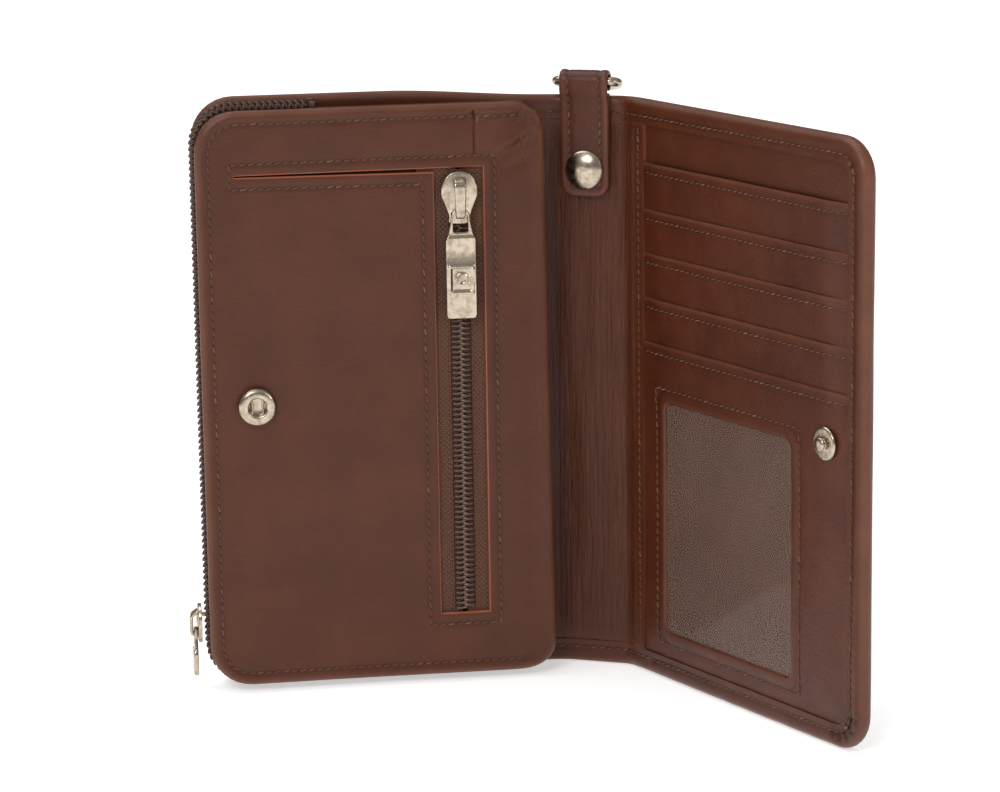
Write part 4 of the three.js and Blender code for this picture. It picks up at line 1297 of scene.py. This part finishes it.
def tab():
    """The strap that loops round the ring's bar and snaps to a short strap on the spine."""
    low, high, _ = box_in(SPINE, "tab_front_leaf")
    centre_x, half = (low[0] + high[0]) / 2, (high[0] - low[0]) / 2
    line = [(BAR_Y + TAB_LOOP_R * math.cos(math.radians(a)), BAR_Z + TAB_LOOP_R * math.sin(math.radians(a)))
            for a in range(-72, 196, 12)]
    line += bent([line[-1], (-4.55, BAR_Z - 2.4), (-3.3, BAR_Z - 5.8), (TAB_HANG_Y, BAR_Z - 11),
                  (TAB_HANG_Y, low[2])], 6)[1:]
    track = Track(divided_open(line, 0.5))
    length = track.s[-1]
    outline = rounded(-half, 0, half, length, [0.3, 0.3, 3.6, 3.6])
    p = Pattern(outline, 0.9, TAB_ROWS)
    groove = bell(p.edge - TAB_SEAM, 0.4)
    soft = 0.1 * swell(p.a, p.b, 5, 7, 51)
    out = 0.6 - 0.16 * groove + 0.12 * bell(p.edge - 1.1, 0.7) + soft - roll(p.edge, 0.6, 0.5)
    inner = -0.5 + roll(p.edge, 0.4, 0.3)
    # the line runs anticlockwise round the bar, so its normal points at the bar
    front, back = -out, -inner

    def along(v):
        point, normal = track.at(v[:, 2])
        flat = point + normal * v[:, 1:2]
        local = np.c_[v[:, 0] + centre_x, flat, np.ones(len(v))]
        return (local @ np.array(SPINE).T)[:, :3]

    masks = edge_masks(p, TAB_SEAM)
    obj = piece("tab_strap", p.solid(front, back), INNER, "inner_leather", along, **masks)
    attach(obj, "tab_leaf")
    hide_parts("tab_front_leaf")
    level = lookup(p, front)
    rows = [stitches([(x, 9.5), (x, length - 2.6)], level) for x in (-half + TAB_SEAM, half - TAB_SEAM)]
    sewn, tone = merged(*rows)
    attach(piece("tab_stitching", sewn, THREADS, "inner_leather", along, tone=tone), "tab_leaf")

    low, high, _ = box_in(SPINE, "tab_back_leaf")
    p = Pattern(rounded(low[0], low[2], high[0], high[2], [3.6, 3.6, 0.5, 0.5]), 1.5, TAB_ROWS[:5])
    mid = (low[1] + high[1]) / 2
    thick = (high[1] - low[1]) / 2
    shape = p.solid(mid - thick + roll(p.edge, 0.5, thick), mid + thick - roll(p.edge, 0.5, thick))
    obj = piece("tab_back_strap", shape, INNER, "inner_leather", SPINE, **edge_masks(p, TAB_SEAM, 0.0))
    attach(obj, "spine")
    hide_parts("tab_back_leaf")

    face = TAB_HANG_Y - TAB_T / 2
    dome = spun([(0, -2.1), (1.6, -2.0), (3.2, -1.62), (4.5, -1.0), (5.15, -0.45), (5.2, 0.0),
                 (4.9, 0.25)], 5)
    snap_part("tab_snap_dome", "tab_snap_cap", "tab_leaf", SPINE @ Matrix.Translation((0, face, 0)),
              [*dome, (2.6, 0.3), (2.5, TAB_T), (0, TAB_T)], sides=56)
    stud = spun([(0, -1.0), (1.1, -0.9), (1.5, -0.45), (1.25, 0.0)], 4)
    snap_part("tab_snap_pin", "tab_snap_stud", "spine", SPINE @ Matrix.Translation((0, low[1], 0)),
              [*stud, (2.6, 0.0), (2.6, 0.5), (0, 0.5)])


RING_R, RING_CORNER_R = 8.2, 1.9    # middle of the ring's wire, in its bow and in its two corners
BOW_RISE = 2                        # centre of the bow above the bar
RING_WIRE_R = 1.25


def ring():
    """The D ring, which leans back from upright on its bar."""
    low, high, _ = box_in(SPINE, "tab_front_leaf")
    line = [(RING_R * math.cos(a), BOW_RISE + RING_R * math.sin(a)) for a in np.linspace(0, math.pi, 25)]
    r = RING_CORNER_R
    for centre, start in ((-RING_R + r, math.pi), (RING_R - r, 1.5 * math.pi)):
        line += [(centre + r * math.cos(start + a), r + r * math.sin(start + a))
                 for a in np.linspace(0, math.pi / 2, 7)]
    path = [(x, y, 0) for x, y in divided(np.array(line), 1.0)]
    place = (SPINE @ Matrix.Translation(((low[0] + high[0]) / 2, BAR_Y, BAR_Z))
             @ Matrix.Rotation(math.radians(-15), 4, "X"))
    obj = piece("tab_ring", tube(path, RING_WIRE_R, 14, closed=True), NICKEL, "nickel", place)
    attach(obj, "ring")
    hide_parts("d_ring")


# ---------------------------------------------------------------- card slots and window pocket

SLOT_ENDS = (STRIP[1] + 0.1, FLAP_W - BORDER - 0.05)
SLOT_SEAM = 2.6
SLOT_ROWS = (0, 0.06, 0.16, 0.3, 0.5, 1.0, 1.8)


def swelling(x):
    """1 in the middle of the flap, falling to 0 where the pockets are sewn down."""
    return ease(x, SLOT_ENDS[0], SLOT_ENDS[0] + 8) * (1 - ease(x, SLOT_ENDS[1] - 9, SLOT_ENDS[1]))


def mouth_lines(top):
    """Lines across a pocket, on its stitch line under the mouth and on both sides of it."""
    return [((SLOT_ENDS[0], top - d), (SLOT_ENDS[1], top - d))
            for d in (SLOT_SEAM - 0.5, SLOT_SEAM, SLOT_SEAM + 0.6)]


def mouth_seam(top):
    """The two ends of the stitch line under a pocket's mouth."""
    return [(SLOT_ENDS[0] + 1, top - SLOT_SEAM), (SLOT_ENDS[1] - 0.8, top - SLOT_SEAM)]


def card_slots():
    """Four card slots, one behind the other, each fuller towards its mouth."""
    threads = []
    for i in range(1, 5):
        low, high, _ = box_in(FLAP, f"card_slot_{i}")
        top, bottom = high[2], low[2]
        outline = rounded(SLOT_ENDS[0], bottom, SLOT_ENDS[1], top)
        p = Pattern(outline, 1.7, SLOT_ROWS, lines=mouth_lines(top))
        h = (p.b - bottom) / (top - bottom)
        below = top - p.b
        soft = 0.1 * swell(p.a, p.b, 12, 9, 60 + i) + 0.05 * swell(p.a, p.b, 3, 5, 70 + i)
        groove = bell(below - SLOT_SEAM, 0.5)
        front = (-1.75 - 0.55 * h - (0.2 + 0.75 * h + soft * 2) * swelling(p.a) + 0.12 * groove
                 - 0.08 * bell(below - 1.3, 0.8) + soft * 0.3 + roll(below, 0.55, 0.4))
        back = front + 0.45 + 0.25 * (below < SLOT_SEAM) - roll(below, 0.4, 0.3) * (below < 0.4)
        back = np.maximum(back, front + 0.05)
        seam = 0.9 * bell(below - SLOT_SEAM, 0.4)
        edge = 0.7 * (1 - ease(below, 0.3, 1.1))
        obj = piece(f"card_slot_{i}_leather", p.solid(front, back), INNER, "inner_leather", FLAP,
                    seam=two_sided(seam, seam), edge=two_sided(edge, edge))
        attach(obj, "flap")
        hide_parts(f"card_slot_{i}")
        threads.append(stitches(mouth_seam(top), lookup(p, front)))
    sewn, tone = merged(*threads)
    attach(piece("card_slot_stitching", sewn, THREADS, "inner_leather", FLAP, tone=tone), "flap")


WINDOW_SEAM = 3.6
FILM_LAP = 3                        # how far the film reaches behind the window's frame


def window_pocket():
    """The window pocket: a leather frame, clear film behind it and a backing."""
    low, high, _ = box_in(FLAP, "id_window_film")
    window = rounded(low[0] + FILM_LAP, low[2] + FILM_LAP, high[0] - FILM_LAP, high[2] - FILM_LAP, 2.5, 6)
    panel_box = box_in(FLAP, "id_window_panel")
    top, bottom = panel_box[1][2], panel_box[0][2] - 1
    outline = rounded(SLOT_ENDS[0], bottom, SLOT_ENDS[1], top)
    p = Pattern(outline, 1.9, SLOT_ROWS, holes=[window], lines=mouth_lines(top),
                hole_rows=(0, 0.08, 0.2, 0.45, 0.8, 1.3, 2.0, 3.0, WINDOW_SEAM, 4.2))
    below = top - p.b
    hole = p.hole[0]
    soft = 0.09 * swell(p.a, p.b, 14, 16, 81) + 0.05 * swell(p.a, p.b, 4, 5, 82)
    groove = bell(below - SLOT_SEAM, 0.5) + bell(hole - WINDOW_SEAM, 0.5)
    front = (-2.25 - 0.6 * swelling(p.a) * ease(p.b, bottom + 2, bottom + 12) - 0.35 * ease(p.b, 62, 86)
             + 0.12 * groove - 0.12 * bell(hole - 1.6, 1.0) + soft + roll(below, 0.55, 0.4)
             + roll(hole, 0.8, 0.45))
    back = front + 0.45 + 0.25 * (below < SLOT_SEAM)
    seam = np.maximum(0.9 * bell(below - SLOT_SEAM, 0.4), bell(hole - WINDOW_SEAM, 0.4))
    edge = 0.7 * np.maximum(1 - ease(below, 0.3, 1.1), 0.7 * (1 - ease(hole, 0.4, 1.3)))
    obj = piece("window_pocket_leather", p.solid(front, back), INNER, "inner_leather", FLAP,
                seam=two_sided(seam, seam), edge=two_sided(edge, edge))
    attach(obj, "flap")
    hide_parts("id_window_panel")
    level = lookup(p, front)
    frame_line = rounded(*window.min(0) - WINDOW_SEAM, *window.max(0) + WINDOW_SEAM)
    sewn, tone = merged(stitches(mouth_seam(top), level), stitches(frame_line, level, closed=True))
    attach(piece("window_pocket_stitching", sewn, THREADS, "inner_leather", FLAP, tone=tone), "flap")

    p = Pattern(rounded(low[0], low[2], high[0], high[2], 1.0), 2.5, (0, 0.2))
    wave = 0.12 * swell(p.a, p.b, 22, 26, 91)
    film = piece("window_film", p.solid(-2.35 + wave, -2.25 + wave), FILM, "film", FLAP)
    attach(film, "flap")
    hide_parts("id_window_film")
    low, high, _ = box_in(FLAP, "id_pocket_backing")
    p = Pattern(rounded(low[0], low[2], high[0], high[2], 1.0), 2.5, (0, 0.15, 0.4))
    wave = 0.08 * swell(p.a, p.b, 16, 20, 92)
    backing = piece("window_pocket_backing", p.solid(-2.0 + wave + roll(p.edge, 0.3, 0.15), -1.62 + wave),
                    INNER, "inner_leather", FLAP)
    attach(backing, "flap")
    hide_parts("id_pocket_backing")


# ---------------------------------------------------------------- building the case

covers()
cover_zip()
coin_zip()
sliders()
snaps()
tab()
ring()
card_slots()
window_pocket()

# ---------------------------------------------------------------- floor, light and camera


def studio():
    """A pale floor, a soft sky, and three lights."""
    floor_look = bpy.data.materials.new("floor")
    floor_look.use_nodes = True
    shader = floor_look.node_tree.nodes["Principled BSDF"]
    shader.inputs["Base Color"].default_value = (0.93, 0.93, 0.93, 1)
    shader.inputs["Roughness"].default_value = 0.8
    shader.inputs["Emission Color"].default_value = (1, 1, 1, 1)
    shader.inputs["Emission Strength"].default_value = 0.5
    bpy.ops.mesh.primitive_plane_add(size=12, location=(0, 0, -0.0002))
    floor = bpy.context.object
    floor.name = "floor"
    floor.data.materials.append(floor_look)

    world = bpy.data.worlds.new("studio")
    bpy.context.scene.world = world
    world.use_nodes = True
    tree = world.node_tree
    sky = tree.nodes["Background"]
    direction = node(tree, "TexCoord").outputs["Generated"]
    height = node(tree, "SeparateXYZ", {0: direction}).outputs["Z"]
    tree.links.new(mixed(tree, spread(tree, height, -0.1, 0.8), (0.22, 0.19, 0.16, 1), (1.0, 1.0, 1.0, 1)),
                   sky.inputs["Color"])
    sky.inputs["Strength"].default_value = 0.42

    for name, place, kind, size, power in (("key", (-0.45, -0.85, 0.75), "AREA", 0.5, 5.6),
                                           ("fill", (0.8, -0.9, 0.5), "AREA", 0.45, 2.2),
                                           ("top", (-0.3, 0.2, 1.0), "SUN", 0.9, 1.3)):
        light = bpy.data.lights.new(name, kind)
        light.energy = power
        if kind == "AREA":
            light.shape, light.size = "DISK", size
        else:
            light.angle = size
        lamp = bpy.data.objects.new(name, light)
        lamp.location = place
        lamp.rotation_euler = (Vector((0, 0, 0.07)) - Vector(place)).to_track_quat("-Z", "Y").to_euler()
        bpy.context.scene.collection.objects.link(lamp)


CAMERA_AT = Vector((-49.2, -897.7, 286.3))      # from the covers' lower left corner
CAMERA_YAW, CAMERA_PITCH, CAMERA_TILT = (math.radians(a) for a in (-8.09, 12.94, -0.85))


def camera():
    """A long lens in front of the covers, a little to the left and above."""
    made = bpy.data.objects.new("camera", bpy.data.cameras.new("camera"))
    made.data.sensor_width, made.data.lens = 36, 126.8
    made.data.clip_start, made.data.clip_end = 0.05, 50
    made.location = (COVERS_AT + CAMERA_AT) * MM
    made.rotation_mode = "QUATERNION"
    made.rotation_quaternion = (Matrix.Rotation(CAMERA_YAW, 3, "Z")
                                @ Matrix.Rotation(math.pi / 2 - CAMERA_PITCH, 3, "X")
                                @ Matrix.Rotation(CAMERA_TILT, 3, "Z")).to_quaternion()
    bpy.context.scene.collection.objects.link(made)
    bpy.context.scene.camera = made


studio()
camera()
bpy.context.scene.view_settings.view_transform = "Standard"
